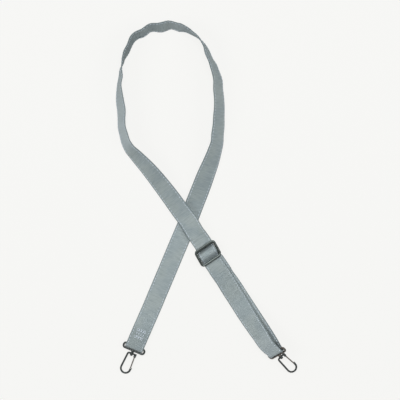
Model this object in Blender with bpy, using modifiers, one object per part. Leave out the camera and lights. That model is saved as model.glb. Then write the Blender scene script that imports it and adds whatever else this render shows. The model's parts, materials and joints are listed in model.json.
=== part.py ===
"""A detachable, adjustable bag strap: one length of woven webbing with a slider and two swivel snap hooks.

The webbing lies as it was dropped on a table: the left leg lies flat, passes under the crossing, climbs
onto its edge round the loop and comes down over the crossing into the slider. Metres, +Z up, +Y up the
view. The webbing is one strap; it is parted into four solids only where the slider's travel bends it.
"""
import math

import bpy
import bmesh
from mathutils import Matrix, Vector

# Webbing
STRAP_WIDTH = 0.025
STRAP_THICKNESS = 0.0014
LAYER_GAP = 0.0003          # air between webbing and whatever it lies on or wraps round
STATION_STEP = 0.007        # spacing of the cross-sections along a laid stretch
TURN_STEPS = 12             # cross-sections in a half turn round a bar
CORNER_STEPS = 4
CROWN_STEPS = 3             # cross-sections on each side of the crest over the slider's centre bar
SEWN_TAIL = 0.0305          # folded end under the left leg, from the eye's bar
SLIDER_TAIL = 0.029         # folded end below the slider, from its centre bar
TAIL_END_GAP = 0.0006       # air past the end of that tail, where the return strand begins
LONG_STRAND_LAYERS = 2      # the return strand and the sewn tail lie beneath the long strand
EYE_LEAD = 0.004            # straight webbing before it turns round an eye's bar
FOLD_SLACK = 0.0018         # how far the fold stands off past the bar that it turns round

# Plan view that the lay of the webbing is drawn in
VIEW_WIDTH = 0.5376         # real width of the square view
VIEW_PX = 400.0
PIXEL_CENTRE_PX = 0.5       # places are given by whole pixels, whose middles lie half a pixel on
SLIDER_CENTRE_PX = (207.6, 253.1)
SLIDER_HEADING_PX = (0.563, 0.826)
LEFT_BAR_PX = (134.5, 345.5)
LEFT_HEADING_PX = (0.392, -0.920)
RIGHT_BAR_PX = (274.6, 350.6)
RIGHT_HEADING_PX = (0.530, 0.848)
LEFT_END_TILT = 0.0
RIGHT_END_TILT = 40.0

# x, y in the view; tilt in degrees (the loop's inner edge up); layers of webbing beneath
LEFT_LEG_PX = (
    (138.4, 336.4, 0.0, 1.0), (144.2, 323.0, 0.0, 1.0), (150.4, 309.0, 0.0, 0.0), (158.2, 291.1, 0.0, 0.0),
    (166.9, 270.5, 0.0, 0.0), (175.6, 249.8, 0.0, 0.0), (187.9, 219.9, 1.0, 0.0), (193.8, 204.3, 3.0, 0.0),
    (200.7, 186.8, 9.0, 0.0), (205.8, 172.8, 20.0, 0.0), (210.0, 161.9, 31.0, 0.0), (214.1, 149.5, 42.5, 0.0),
)
LOOP_PX = (
    (216.1, 142.6, 47.4, 0.0), (217.0, 134.2, 48.8, 0.0), (217.8, 125.3, 50.4, 0.0), (218.5, 116.0, 52.7, 0.0),
    (218.8, 107.3, 55.5, 0.0), (218.4, 98.2, 57.8, 0.0), (217.6, 88.6, 58.8, 0.0), (216.8, 80.2, 61.9, 0.0),
    (215.1, 72.1, 65.4, 0.0), (212.7, 65.2, 68.8, 0.0), (210.0, 59.4, 73.6, 0.0), (207.0, 52.8, 74.5, 0.0),
    (204.1, 46.2, 80.8, 0.0), (200.3, 40.3, 87.9, 0.0), (194.8, 35.1, 95.0, 0.0), (188.7, 31.1, 102.1, 0.0),
    (182.7, 28.4, 108.9, 0.0), (175.7, 26.3, 112.6, 0.0), (168.1, 25.4, 117.5, 0.0), (161.2, 27.0, 119.5, 0.0),
    (154.1, 27.4, 115.8, 0.0), (147.3, 29.4, 113.7, 0.0), (141.2, 33.2, 114.5, 0.0), (134.8, 36.7, 111.6, 0.0),
    (130.5, 42.5, 106.6, 0.0), (127.4, 48.9, 104.8, 0.0), (124.5, 55.3, 101.0, 0.0), (122.5, 62.0, 94.3, 0.0),
    (120.8, 68.8, 84.7, 0.0), (120.3, 76.0, 78.4, 0.0), (119.2, 83.2, 77.0, 0.0), (119.1, 93.8, 69.8, 0.0),
    (120.1, 102.0, 64.9, 0.0), (120.9, 110.1, 64.2, 0.0), (121.1, 119.1, 66.5, 0.0), (121.8, 127.2, 65.0, 0.0),
    (123.1, 134.2, 64.1, 0.0), (125.6, 141.9, 60.9, 0.0), (129.6, 148.9, 56.0, 0.0), (135.1, 154.7, 49.6, 0.0),
    (140.8, 160.7, 43.6, 0.0), (146.3, 166.7, 38.1, 0.0), (151.7, 173.0, 32.9, 0.0),
)
CROSSING_PX = (
    (161.8, 185.6, 24.0, 0.2), (171.7, 198.7, 17.0, 0.9), (180.3, 210.7, 13.0, 1.6), (188.9, 222.3, 10.0, 1.7),
)
FRONT_RUN_PX = (
    (226.9, 283.1, 4.0, 1.05), (237.6, 300.2, 10.0, 0.8), (246.0, 313.9, 18.0, 0.6), (253.5, 325.5, 24.0, 1.0),
    (258.7, 333.2, 28.5, 1.6), (264.3, 341.0, 33.5, 2.6),
)
RETURN_RUN_PX = (
    (229.0, 282.0, 3.0, 0.0), (240.2, 298.6, 9.0, 0.0), (251.5, 315.1, 19.0, 0.0), (263.1, 331.4, 31.0, 0.0),
)

# Slider, a flat cast frame with two slots
SLIDER_SIDE_BAR = 0.0032
SLIDER_CROSS_BAR = 0.0026
SLIDER_SLOT = 0.0073
SLIDER_THICKNESS = 0.0025
SLIDER_SIDE_CLEARANCE = 0.0008
SLIDER_CORNER = 0.0040
SLOT_CORNER = 0.0009
SLIDER_EDGE = 0.0005
WEAVE_ANGLE = 55.0          # slope of the webbing between the slider's bars
WEAVE_ENTRY = 0.0030        # flat webbing beyond each end bar
UPPER_RUN = 0.028           # webbing above the slider that bends as it travels
UPPER_RUN_TILT = 6.0

# Swivel eye: a rounded wire rectangle cast in one with the post that the hook turns on
EYE_WIRE = 0.0027
EYE_DEPTH = 0.0066          # between the centres of the eye's two long bars
EYE_SIDE_CLEARANCE = 0.0010
EYE_CORNER = 0.0029
POST_DIAMETER = 0.0020
POST_CLEARANCE = 0.0003
COLLAR_DIAMETER = 0.0040
COLLAR_HEIGHT = 0.0011
HEAD_DIAMETER = 0.0036
HEAD_HEIGHT = 0.0011
HEAD_DOME_SHARE = 0.6       # of the head's height

# Hook body: a pear-shaped wire with a boss for the post and a fork for the gate
BOSS_DIAMETER = 0.0048
BOSS_HEIGHT = 0.0032
HOOK_WIRE = 0.0025
NOSE_WIRE = 0.0030
BRIDGE_HALF = 0.0052        # post axis to the spine and to the gate's pin, at the bridge
BOWL_RADIUS = 0.00645
BOWL_DROP = 0.0212          # bridge to the centre of the bowl
BRIDGE_CORNER = 0.0020
NOSE_RISE = 0.0032          # how far the nose comes back up from the bowl's centre
NOSE_STEP = 0.0014          # the notch in the nose that the gate shuts into
FORK_WIDTH = 0.0034
FORK_HEIGHT = 0.0047
FORK_CHEEK = 0.0006
FORK_CLEARANCE = 0.0002

# Gate, its pin and its torsion spring
GATE_PIN_DROP = 0.0023      # bridge to the gate's pin
GATE_WIRE = 0.0017
GATE_KNUCKLE = 0.0025
GATE_CHEEK = 0.0004
GATE_WEB_WIDTH = 0.0014     # of the tongue that joins the gate's wire to its knuckle
GATE_TIP_GAP = 0.0003
GATE_RINGS = 6
PIN_DIAMETER = 0.0009
PIN_CLEARANCE = 0.00015
SPRING_WIRE = 0.0003
SPRING_TURNS = 2
SPRING_END_GAP = 0.0003     # air between the spring and each cheek of the gate
SPRING_RINGS_PER_TURN = 10
SPRING_RESOLUTION = 1
SPRING_SHADE_ANGLE = 60.0

CUT_OVERRUN = 0.001
WELD_DISTANCE = 0.00001
ROUND_SIDES = 16
WIRE_RINGS_PER_TURN = 20
WIRE_RESOLUTION = 4
SHADE_ANGLE = 35.0
SETTLING_ROUNDS = 12

LAYER = STRAP_THICKNESS + LAYER_GAP
WRAP_RADIUS = EYE_WIRE / 2 + LAYER_GAP + STRAP_THICKNESS / 2
UP = Vector((0.0, 0.0, 1.0))


def srgb(red, green, blue):
    """Turn 0 to 255 sRGB values into the linear colour that a shader takes."""
    return tuple(((v / 255 + 0.055) / 1.055) ** 2.4 for v in (red, green, blue)) + (1.0,)


def finish(name, colour, roughness, metallic):
    material = bpy.data.materials.new(name)
    material.use_nodes = True
    shader = material.node_tree.nodes["Principled BSDF"]
    shader.inputs["Base Color"].default_value = colour
    shader.inputs["Roughness"].default_value = roughness
    shader.inputs["Metallic"].default_value = metallic
    material.diffuse_color = colour
    return material


def clear_scene():
    for obj in list(bpy.data.objects):
        bpy.data.objects.remove(obj, do_unlink=True)


def collection(name):
    group = bpy.data.collections.new(name)
    bpy.context.scene.collection.children.link(group)
    return group


# Webbing: a route of cross-sections, each a centre and the unit vector across the strap

def plan(x_px, y_px):
    """Place a point of the view on the table."""
    scale = VIEW_WIDTH / VIEW_PX
    middle = VIEW_PX / 2 - PIXEL_CENTRE_PX
    return Vector(((x_px - middle) * scale, (middle - y_px) * scale, 0.0))


def heading(vector_px):
    return Vector((vector_px[0], -vector_px[1], 0.0)).normalized()


def left_of(direction):
    return UP.cross(direction).normalized()


def rest_height(tilt):
    """Height of the strap's centre when its lower edge touches the table at this tilt in degrees."""
    angle = math.radians(tilt)
    return STRAP_WIDTH / 2 * abs(math.sin(angle)) + STRAP_THICKNESS / 2 * abs(math.cos(angle))


def laid(route_px):
    """Controls (x, y, tilt, layers beneath) in metres and degrees for a route drawn in the view."""
    controls = []
    for x_px, y_px, tilt, layers in route_px:
        spot = plan(x_px, y_px)
        controls.append((spot.x, spot.y, tilt, layers))
    return controls


def control_at(point, tilt):
    """The control that passes through a known point in space."""
    return (point.x, point.y, tilt, (point.z - rest_height(tilt)) / LAYER)


def smooth(controls):
    """Cross-sections along a smooth curve through the controls, one list for each span between two."""
    rows = [list(control) for control in controls]
    spacing = [math.dist(a[:2], b[:2]) for a, b in zip(rows, rows[1:])]
    slopes = [[(q - p) / h for p, q in zip(a, b)] for a, b, h in zip(rows, rows[1:], spacing)]
    tangents = [slopes[0]]
    for before, after, h0, h1 in zip(slopes, slopes[1:], spacing, spacing[1:]):
        blend = [(p * h1 + q * h0) / (h0 + h1) for p, q in zip(before, after)]
        limited = [0.0 if p * q <= 0.0 else m for p, q, m in zip(before, after, blend)]
        tangents.append(blend[:2] + limited[2:])
    tangents.append(slopes[-1])
    spans = []
    for a, b, ta, tb, h in zip(rows, rows[1:], tangents, tangents[1:], spacing):
        steps = max(2, round(h / STATION_STEP))
        spans.append([hermite(a, b, ta, tb, h, step / steps) for step in range(steps + 1)])
    return spans


def hermite(a, b, slope_a, slope_b, span, share):
    """One cross-section, from its place and its direction on the cubic between two controls."""
    s2, s3 = share ** 2, share ** 3
    weights = (2 * s3 - 3 * s2 + 1, s3 - 2 * s2 + share, 3 * s2 - 2 * s3, s3 - s2)
    rates = (6 * s2 - 6 * share, 3 * s2 - 4 * share + 1, 6 * share - 6 * s2, 3 * s2 - 2 * share)
    values = [[p, m * span, q, n * span] for p, m, q, n in zip(a, slope_a, b, slope_b)]
    x, y, tilt, layers = (sum(w * v for w, v in zip(weights, four)) for four in values)
    along = Vector([sum(r * v for r, v in zip(rates, four)) for four in values[:2]] + [0.0])
    centre = Vector((x, y, max(layers, 0.0) * LAYER + rest_height(tilt)))
    angle = math.radians(tilt)
    return centre, left_of(along) * math.cos(angle) + UP * math.sin(angle)


def turn_round(centre, across, start, side, radius):
    """Cross-sections of a half turn about a bar, from the start direction by way of the side."""
    angles = (math.pi * step / TURN_STEPS for step in range(TURN_STEPS + 1))
    return [(centre + (start * math.cos(a) + side * math.sin(a)) * radius, across) for a in angles]


def round_corners(points, radius):
    """Replace each inner corner of a run of points by a short curve."""
    run = [points[0]]
    for before, corner, after in zip(points, points[1:], points[2:]):
        reach = min(radius, (corner - before).length / 2, (after - corner).length / 2)
        first = corner + (before - corner).normalized() * reach
        last = corner + (after - corner).normalized() * reach
        for step in range(CORNER_STEPS + 1):
            share = step / CORNER_STEPS
            run.append(first.lerp(corner, share).lerp(corner.lerp(last, share), share))
    run.append(points[-1])
    return run


def joined(*runs):
    """Chain runs of cross-sections, leaving out the ones they share."""
    chain = list(runs[0])
    for run in runs[1:]:
        chain += run[1:] if (run[0][0] - chain[-1][0]).length < WELD_DISTANCE else run
    return chain


def drawn_back(run, start, end):
    """Shorten a run by half a gap at the ends where it meets the next solid."""
    run = list(run)
    for here, inward, wanted in ((0, 1, start), (-1, -2, end)):
        if wanted:
            step = (run[inward][0] - run[here][0]).normalized()
            run[here] = (run[here][0] + step * LAYER_GAP / 2, run[here][1])
    return run


def webbing(name, run, parent, material, group):
    """Sweep the strap's width along the cross-sections and give the surface its thickness."""
    bm = bmesh.new()
    centre, across = run[0]
    pair = [bm.verts.new(centre + across * STRAP_WIDTH / 2 * side) for side in (1, -1)]
    edge = bm.edges.new(pair)
    for centre, across in run[1:]:
        grown = bmesh.ops.extrude_edge_only(bm, edges=[edge])["geom"]
        edge = next(item for item in grown if isinstance(item, bmesh.types.BMEdge))
        side = {}
        for vert in edge.verts:
            rung = next(other for other in vert.link_edges if other is not edge)
            side[vert] = 1 if rung.other_vert(vert) is pair[0] else -1
        for vert in edge.verts:
            vert.co = centre + across * STRAP_WIDTH / 2 * side[vert]
        pair = sorted(edge.verts, key=lambda vert: -side[vert])
    obj = new_object(name, bm, parent, material, group)
    solid = obj.modifiers.new("thickness", "SOLIDIFY")
    solid.thickness = STRAP_THICKNESS
    solid.offset = 0.0
    solid.use_even_offset = True
    return obj


# Solid helpers

def new_object(name, bm, parent, material, group):
    mesh = bpy.data.meshes.new(name)
    bm.to_mesh(mesh)
    bm.free()
    obj = bpy.data.objects.new(name, mesh)
    group.objects.link(obj)
    obj.parent = parent
    mesh.materials.append(material)
    return obj


def empty(name, matrix, parent, group):
    obj = bpy.data.objects.new(name, None)
    group.objects.link(obj)
    obj.parent = parent
    obj.matrix_local = matrix
    obj.empty_display_size = STRAP_WIDTH / 2
    return obj


def rod(bm, radius, start, end, sides=ROUND_SIDES):
    """Add a capped cylinder between two points."""
    start, end = Vector(start), Vector(end)
    turn = (end - start).to_track_quat("Z", "Y").to_matrix().to_4x4()
    place = Matrix.Translation((start + end) / 2) @ turn
    bmesh.ops.create_cone(bm, cap_ends=True, segments=sides, radius1=radius, radius2=radius,
                          depth=(end - start).length, matrix=place)


def block(bm, low, high):
    """Add a box between two corners."""
    low, high = Vector(low), Vector(high)
    size = Matrix.Diagonal(high - low).to_4x4()
    bmesh.ops.create_cube(bm, size=1.0, matrix=Matrix.Translation((low + high) / 2) @ size)


def wire(name, points, radii, parent, material, group, cyclic=False,
         resolution=WIRE_RESOLUTION):
    """A round wire along the points, as a closed mesh."""
    curve = bpy.data.curves.new(name, "CURVE")
    curve.dimensions = "3D"
    curve.bevel_depth = max(radii)
    curve.bevel_resolution = resolution
    curve.use_fill_caps = not cyclic
    spline = curve.splines.new("POLY")
    spline.points.add(len(points) - 1)
    spline.use_cyclic_u = cyclic
    for point, spot, radius in zip(spline.points, points, radii):
        point.co = (*spot, 1.0)
        point.radius = radius / max(radii)
    return as_mesh(name, curve, parent, material, group)


def as_mesh(name, curve, parent, material, group):
    """Turn a curve into a welded mesh object."""
    helper = bpy.data.objects.new(name + "_curve", curve)
    bpy.context.scene.collection.objects.link(helper)
    bpy.context.view_layer.update()
    mesh = bpy.data.meshes.new_from_object(helper.evaluated_get(bpy.context.evaluated_depsgraph_get()))
    bm = bmesh.new()
    bm.from_mesh(mesh)
    bmesh.ops.remove_doubles(bm, verts=bm.verts, dist=WELD_DISTANCE)
    obj = new_object(name, bm, parent, material, group)
    bpy.data.objects.remove(helper, do_unlink=True)
    return obj


def shape_by(obj, tool, operation):
    """Join or cut an object with a tool that stays in the tools collection."""
    tool.hide_render = True
    tool.display_type = "WIRE"
    boolean = obj.modifiers.new(tool.name, "BOOLEAN")
    boolean.operation = operation
    boolean.solver = "EXACT"
    boolean.object = tool


def smooth_shade(obj, angle=SHADE_ANGLE):
    obj.data.shade_smooth()
    obj.data.set_sharp_from_angle(angle=math.radians(angle))


def arc(centre, radius, start, end, rings=WIRE_RINGS_PER_TURN):
    """Points of an arc in the XY plane, angles in degrees."""
    steps = max(2, round(abs(end - start) / 360.0 * rings))
    angles = (math.radians(start + (end - start) * step / steps) for step in range(steps + 1))
    return [Vector((centre[0] + radius * math.cos(a), centre[1] + radius * math.sin(a), 0.0)) for a in angles]


# Slider

def slider_size():
    """Outer width across the strap, outer length along it, and the pitch of the cross bars."""
    width = STRAP_WIDTH + 2 * SLIDER_SIDE_CLEARANCE + 2 * SLIDER_SIDE_BAR
    pitch = SLIDER_SLOT + SLIDER_CROSS_BAR
    return width, 2 * pitch + SLIDER_CROSS_BAR, pitch


def slider_underside():
    """The lower end bar lies on the return strand, the sewn tail and the long strand."""
    return (LONG_STRAND_LAYERS + 1) * LAYER


def rounded_rectangle(width, length, centre_y, radius):
    """Outline points of a rectangle with round corners, centred on X."""
    outline = []
    for quarter, (side_x, side_y) in enumerate(((1, 1), (-1, 1), (-1, -1), (1, -1))):
        corner = (side_x * (width / 2 - radius), centre_y + side_y * (length / 2 - radius))
        outline += arc(corner, radius, quarter * 90.0, quarter * 90.0 + 90.0)
    return outline


def slider_frame(parent, material, group):
    width, length, pitch = slider_size()
    curve = bpy.data.curves.new("slider_frame", "CURVE")
    curve.dimensions = "2D"
    curve.fill_mode = "BOTH"
    curve.extrude = SLIDER_THICKNESS / 2 - SLIDER_EDGE
    curve.bevel_depth = SLIDER_EDGE
    curve.bevel_resolution = 2
    curve.offset = -SLIDER_EDGE
    outlines = [rounded_rectangle(width, length, 0.0, SLIDER_CORNER)]
    for side in (-1, 1):
        centre_y = side * pitch / 2
        outlines.append(rounded_rectangle(width - 2 * SLIDER_SIDE_BAR, SLIDER_SLOT, centre_y, SLOT_CORNER))
    for outline in outlines:
        spline = curve.splines.new("POLY")
        spline.points.add(len(outline) - 1)
        spline.use_cyclic_u = True
        for point, spot in zip(spline.points, outline):
            point.co = (*spot, 1.0)
    obj = as_mesh("slider_frame", curve, parent, material, group)
    smooth_shade(obj)
    return obj


def fold_radius():
    """Radius of the sewn end's centre line round the slider's centre bar."""
    flat = Vector((SLIDER_CROSS_BAR / 2 - SLIDER_EDGE, SLIDER_THICKNESS / 2 - SLIDER_EDGE))
    return flat.length + SLIDER_EDGE + LAYER_GAP + STRAP_THICKNESS / 2


def over_bar(centre, along, radius, foot_height):
    """Points of a strand that climbs to a radius about the centre bar and comes down again."""
    slope = math.radians(WEAVE_ANGLE)
    rise = centre.z - foot_height
    foot = (radius + rise * math.cos(slope)) / math.sin(slope)
    crown = [centre + radius * (along * math.sin(a) + UP * math.cos(a))
             for a in (slope * step / CROWN_STEPS for step in range(-CROWN_STEPS, CROWN_STEPS + 1))]
    down = Vector((0.0, 0.0, -rise))
    return centre - along * foot + down, crown, centre + along * foot + down


# Snap hook

def bridge_drop():
    """From the eye's strap bar to the bridge of the hook, along the post."""
    return EYE_DEPTH + EYE_WIRE / 2 + COLLAR_HEIGHT + POST_CLEARANCE + BOSS_HEIGHT / 2


def hook_reach():
    """From the eye's strap bar to the centre of the wire at the bottom of the bowl."""
    return bridge_drop() + BOWL_DROP + BOWL_RADIUS


def swivel_eye(side, parent, material, group, tools):
    """The eye in its own plane: strap bar on X at the origin, post along +Y."""
    half = STRAP_WIDTH / 2 + EYE_SIDE_CLEARANCE + EYE_WIRE / 2
    outline = []
    for quarter, (side_x, side_y) in enumerate(((1, 1), (-1, 1), (-1, 0), (1, 0))):
        corner_y = side_y * EYE_DEPTH + (EYE_CORNER if side_y == 0 else -EYE_CORNER)
        corner = (side_x * (half - EYE_CORNER), corner_y)
        outline += arc(corner, EYE_CORNER, quarter * 90.0, quarter * 90.0 + 90.0)
    radii = [EYE_WIRE / 2] * len(outline)
    eye = wire(f"{side}_swivel_eye", outline, radii, parent, material, group, cyclic=True)
    post = bmesh.new()
    seat = EYE_DEPTH + EYE_WIRE / 2 + COLLAR_HEIGHT
    head = bridge_drop() + BOSS_HEIGHT / 2 + POST_CLEARANCE
    rod(post, COLLAR_DIAMETER / 2, (0, EYE_DEPTH, 0), (0, seat, 0))
    shape_by(eye, new_object(f"{side}_collar_tool", post, parent, material, tools), "UNION")
    post = bmesh.new()
    rod(post, POST_DIAMETER / 2, (0, EYE_DEPTH, 0), (0, head + HEAD_HEIGHT / 2, 0))
    shape_by(eye, new_object(f"{side}_post_tool", post, parent, material, tools), "UNION")
    post = bmesh.new()
    rod(post, HEAD_DIAMETER / 2, (0, head, 0), (0, head + HEAD_HEIGHT, 0))
    domed = [edge for edge in post.edges if all(v.co.y > head + HEAD_HEIGHT / 2 for v in edge.verts)]
    bmesh.ops.bevel(post, geom=domed, offset=HEAD_HEIGHT * HEAD_DOME_SHARE, segments=3, affect="EDGES",
                    profile=0.5)
    shape_by(eye, new_object(f"{side}_head_tool", post, parent, material, tools), "UNION")
    smooth_shade(eye)
    return eye


def knuckle_half():
    """Half the length of the gate's knuckle, between the cheeks of the fork."""
    return FORK_HEIGHT / 2 - FORK_CHEEK - FORK_CLEARANCE


def spring_pitch():
    """The spring's turns share the room between the gate's cheeks."""
    room = 2 * (knuckle_half() - GATE_CHEEK - SPRING_END_GAP) - SPRING_WIRE
    return room / (SPRING_TURNS + 1 / 2)


def gate_pin_spot():
    return Vector((-BRIDGE_HALF, GATE_PIN_DROP, 0.0))


def nose_spot():
    return Vector((-BOWL_RADIUS, BOWL_DROP - NOSE_RISE, 0.0))


def hook_path():
    """Centre line of the hook's wire, from the gate fork over the bridge, down the spine and round."""
    bend = BRIDGE_CORNER
    bowl = (0.0, BOWL_DROP)
    spine = math.degrees(math.asin((BOWL_RADIUS - BRIDGE_HALF) / BOWL_DROP))
    path = [Vector((-BRIDGE_HALF, 0.0, 0.0)), Vector((-BRIDGE_HALF / 2, 0.0, 0.0))]
    path += arc((BRIDGE_HALF - bend, bend), bend, -90.0, 0.0)
    path += arc(bowl, BOWL_RADIUS, -spine, 180.0 + spine)
    return path + [nose_spot()]


def hook_body(side, parent, material, group, tools):
    """The hook in its own plane: bridge on X at the origin, post axis and bowl along +Y."""
    path = hook_path()
    longest = max(point.y for point in path)
    radii = [HOOK_WIRE / 2 if point.x > 0 or point.y < BOWL_DROP / 2 else
             HOOK_WIRE / 2 + (NOSE_WIRE - HOOK_WIRE) / 2 * (longest - point.y) / (longest - nose_spot().y)
             for point in path]
    body = wire(f"{side}_hook_body", path, radii, parent, material, group)
    pin = gate_pin_spot()

    boss = bmesh.new()
    rod(boss, BOSS_DIAMETER / 2, (0, -BOSS_HEIGHT / 2, 0), (0, BOSS_HEIGHT / 2, 0))
    shape_by(body, new_object(f"{side}_boss_tool", boss, parent, material, tools), "UNION")
    fork = bmesh.new()
    half = Vector((FORK_WIDTH / 2, 0, FORK_HEIGHT / 2))
    block(fork, (pin.x - half.x, -HOOK_WIRE / 2, -half.z), (pin.x + half.x, pin.y, half.z))
    shape_by(body, new_object(f"{side}_fork_tool", fork, parent, material, tools), "UNION")
    fork = bmesh.new()
    rod(fork, FORK_WIDTH / 2, pin - UP * half.z, pin + UP * half.z)
    shape_by(body, new_object(f"{side}_fork_end_tool", fork, parent, material, tools), "UNION")

    hole = bmesh.new()
    reach = BOSS_HEIGHT / 2 + CUT_OVERRUN
    rod(hole, POST_DIAMETER / 2 + POST_CLEARANCE, (0, -reach, 0), (0, reach, 0))
    shape_by(body, new_object(f"{side}_post_hole", hole, parent, material, tools), "DIFFERENCE")
    slot = bmesh.new()
    cheek = FORK_HEIGHT / 2 - FORK_CHEEK
    back = pin.y - GATE_KNUCKLE / 2 - FORK_CLEARANCE
    block(slot, (pin.x - FORK_WIDTH, back, -cheek), (pin.x + FORK_WIDTH, pin.y + FORK_WIDTH, cheek))
    shape_by(body, new_object(f"{side}_fork_slot", slot, parent, material, tools), "DIFFERENCE")
    hole = bmesh.new()
    rod(hole, PIN_DIAMETER / 2 + PIN_CLEARANCE, pin - UP * FORK_HEIGHT, pin + UP * FORK_HEIGHT)
    shape_by(body, new_object(f"{side}_pin_hole", hole, parent, material, tools), "DIFFERENCE")
    notch = bmesh.new()
    nose = nose_spot()
    lip = nose.x + GATE_WIRE / 2 - NOSE_WIRE / 2
    block(notch, (lip, nose.y - CUT_OVERRUN, -NOSE_WIRE), (nose.x + NOSE_WIRE, nose.y + NOSE_STEP, NOSE_WIRE))
    shape_by(body, new_object(f"{side}_nose_notch", notch, parent, material, tools), "DIFFERENCE")
    smooth_shade(body)
    return body


def gate(side, parent, material, group, tools):
    """The gate about its pin at the origin, its tip in the notch of the nose."""
    tip = nose_spot() - gate_pin_spot()
    tip.y += NOSE_STEP - GATE_TIP_GAP
    tip.x += GATE_WIRE - NOSE_WIRE / 2 + GATE_TIP_GAP
    seat = GATE_KNUCKLE / 2 + SPRING_WIRE
    start = tip.normalized() * GATE_KNUCKLE / 2
    points = [start.lerp(tip, step / GATE_RINGS) for step in range(GATE_RINGS + 1)]
    lever = wire(f"{side}_gate", points, [GATE_WIRE / 2] * len(points), parent, material, group)
    reach = knuckle_half()
    knuckle = bmesh.new()
    rod(knuckle, GATE_KNUCKLE / 2, (0, 0, -reach), (0, 0, reach))
    shape_by(lever, new_object(f"{side}_knuckle_tool", knuckle, parent, material, tools), "UNION")
    web = bmesh.new()
    block(web, (-GATE_WEB_WIDTH / 2, 0, -reach), (GATE_WEB_WIDTH / 2, seat + GATE_WIRE / 2, reach))
    bmesh.ops.rotate(web, verts=web.verts, matrix=Matrix.Rotation(math.atan2(-tip.x, tip.y), 3, "Z"))
    shape_by(lever, new_object(f"{side}_web_tool", web, parent, material, tools), "UNION")
    slot = bmesh.new()
    inner = reach - GATE_CHEEK
    block(slot, (-GATE_KNUCKLE, -GATE_KNUCKLE, -inner), (GATE_KNUCKLE, seat, inner))
    shape_by(lever, new_object(f"{side}_spring_slot", slot, parent, material, tools), "DIFFERENCE")
    hole = bmesh.new()
    rod(hole, PIN_DIAMETER / 2 + PIN_CLEARANCE, UP * -FORK_HEIGHT, UP * FORK_HEIGHT)
    shape_by(lever, new_object(f"{side}_gate_hole", hole, parent, material, tools), "DIFFERENCE")
    smooth_shade(lever)
    return lever


def gate_pin(side, parent, material, group):
    pin = bmesh.new()
    spot = gate_pin_spot()
    rod(pin, PIN_DIAMETER / 2, spot - UP * FORK_HEIGHT / 2, spot + UP * FORK_HEIGHT / 2)
    obj = new_object(f"{side}_gate_pin", pin, parent, material, group)
    smooth_shade(obj)
    return obj


def gate_spring(side, parent, material, group):
    """A torsion spring round the pin: one leg down the gate, one against the back of the fork."""
    spot = gate_pin_spot()
    radius = PIN_DIAMETER / 2 + PIN_CLEARANCE + SPRING_WIRE / 2
    turns = SPRING_TURNS + 1 / 2
    steps = round(turns * SPRING_RINGS_PER_TURN)
    coil = []
    for step in range(steps + 1):
        angle = 2 * math.pi * step / SPRING_RINGS_PER_TURN
        lift = (step / SPRING_RINGS_PER_TURN - turns / 2) * spring_pitch()
        coil.append(spot + Vector((radius * math.cos(angle), radius * math.sin(angle), lift)))
    leg = Vector((0.0, GATE_KNUCKLE / 2, 0.0))
    points = [coil[0] + leg] + coil + [coil[-1] - leg]
    obj = wire(f"{side}_gate_spring", points, [SPRING_WIRE / 2] * len(points), parent, material, group,
               resolution=SPRING_RESOLUTION)
    smooth_shade(obj, SPRING_SHADE_ANGLE)
    return obj


# The two ends and the whole strap

def hook_slope(height):
    """Fall per length of a hook that hangs from this height with its nose just clear of the table."""
    return (height - NOSE_WIRE / 2) / hook_reach()


def eye_height(angle):
    """Height of the eye's strap bar when the eye's lower corner touches the table."""
    reach = STRAP_WIDTH / 2 + EYE_SIDE_CLEARANCE + EYE_WIRE / 2 - EYE_CORNER
    height = EYE_WIRE / 2
    for _ in range(SETTLING_ROUNDS):
        slope = hook_slope(height)
        corner = EYE_CORNER * math.hypot(math.sin(angle), slope)
        height = EYE_WIRE / 2 + reach * math.sin(angle) + (EYE_DEPTH - EYE_CORNER) * slope + corner
    return height


class StrapEnd:
    """Where the webbing folds round an eye's bar: the bar's place, and the directions there."""

    def __init__(self, bar_px, outward, inner_side, tilt):
        angle = math.radians(tilt)
        self.tilt = tilt
        self.outward = outward
        self.across = inner_side * math.cos(angle) + UP * math.sin(angle)
        self.normal = (UP * math.cos(angle) - inner_side * math.sin(angle)).normalized()
        height = max(rest_height(tilt) + WRAP_RADIUS * math.cos(angle), eye_height(angle))
        self.bar = plan(*bar_px) + UP * height
        self.swing = math.asin(hook_slope(height) / math.cos(angle))

    def strand(self, side):
        """Where a strand is level with the bar, on the upper or the lower side of the fold."""
        return self.bar + self.normal * WRAP_RADIUS * side

    def lead(self, side, distance):
        return control_at(self.strand(side) - self.outward * distance, self.tilt)

    def fold(self, side):
        """Cross-sections round the bar, from the strand on this side of it to the other strand."""
        middle = self.bar + self.outward * FOLD_SLACK
        turn = turn_round(middle, self.across, self.normal * side, self.outward, WRAP_RADIUS)
        return turn + [(self.strand(-side), self.across)]

    def frame(self):
        """The eye's own axes: X along its bar towards the spine's side, Y out along the post."""
        out = (self.outward * math.cos(self.swing) - self.normal * math.sin(self.swing)).normalized()
        spine_side = out.cross(UP).normalized()
        bar = self.across if self.across.dot(spine_side) > 0 else -self.across
        axes = Matrix((bar, out, bar.cross(out))).transposed().to_4x4()
        return Matrix.Translation(self.bar) @ axes

    def swivel(self):
        """Turn of the hook about its post that lays it flat on the table."""
        frame = self.frame().to_3x3()
        out = frame.col[1]
        spine_side = out.cross(UP).normalized()
        return math.atan2(-spine_side.dot(frame.col[2]), spine_side.dot(frame.col[0]))


def slider_origin():
    return plan(*SLIDER_CENTRE_PX) + UP * (slider_underside() + SLIDER_THICKNESS / 2)


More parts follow.
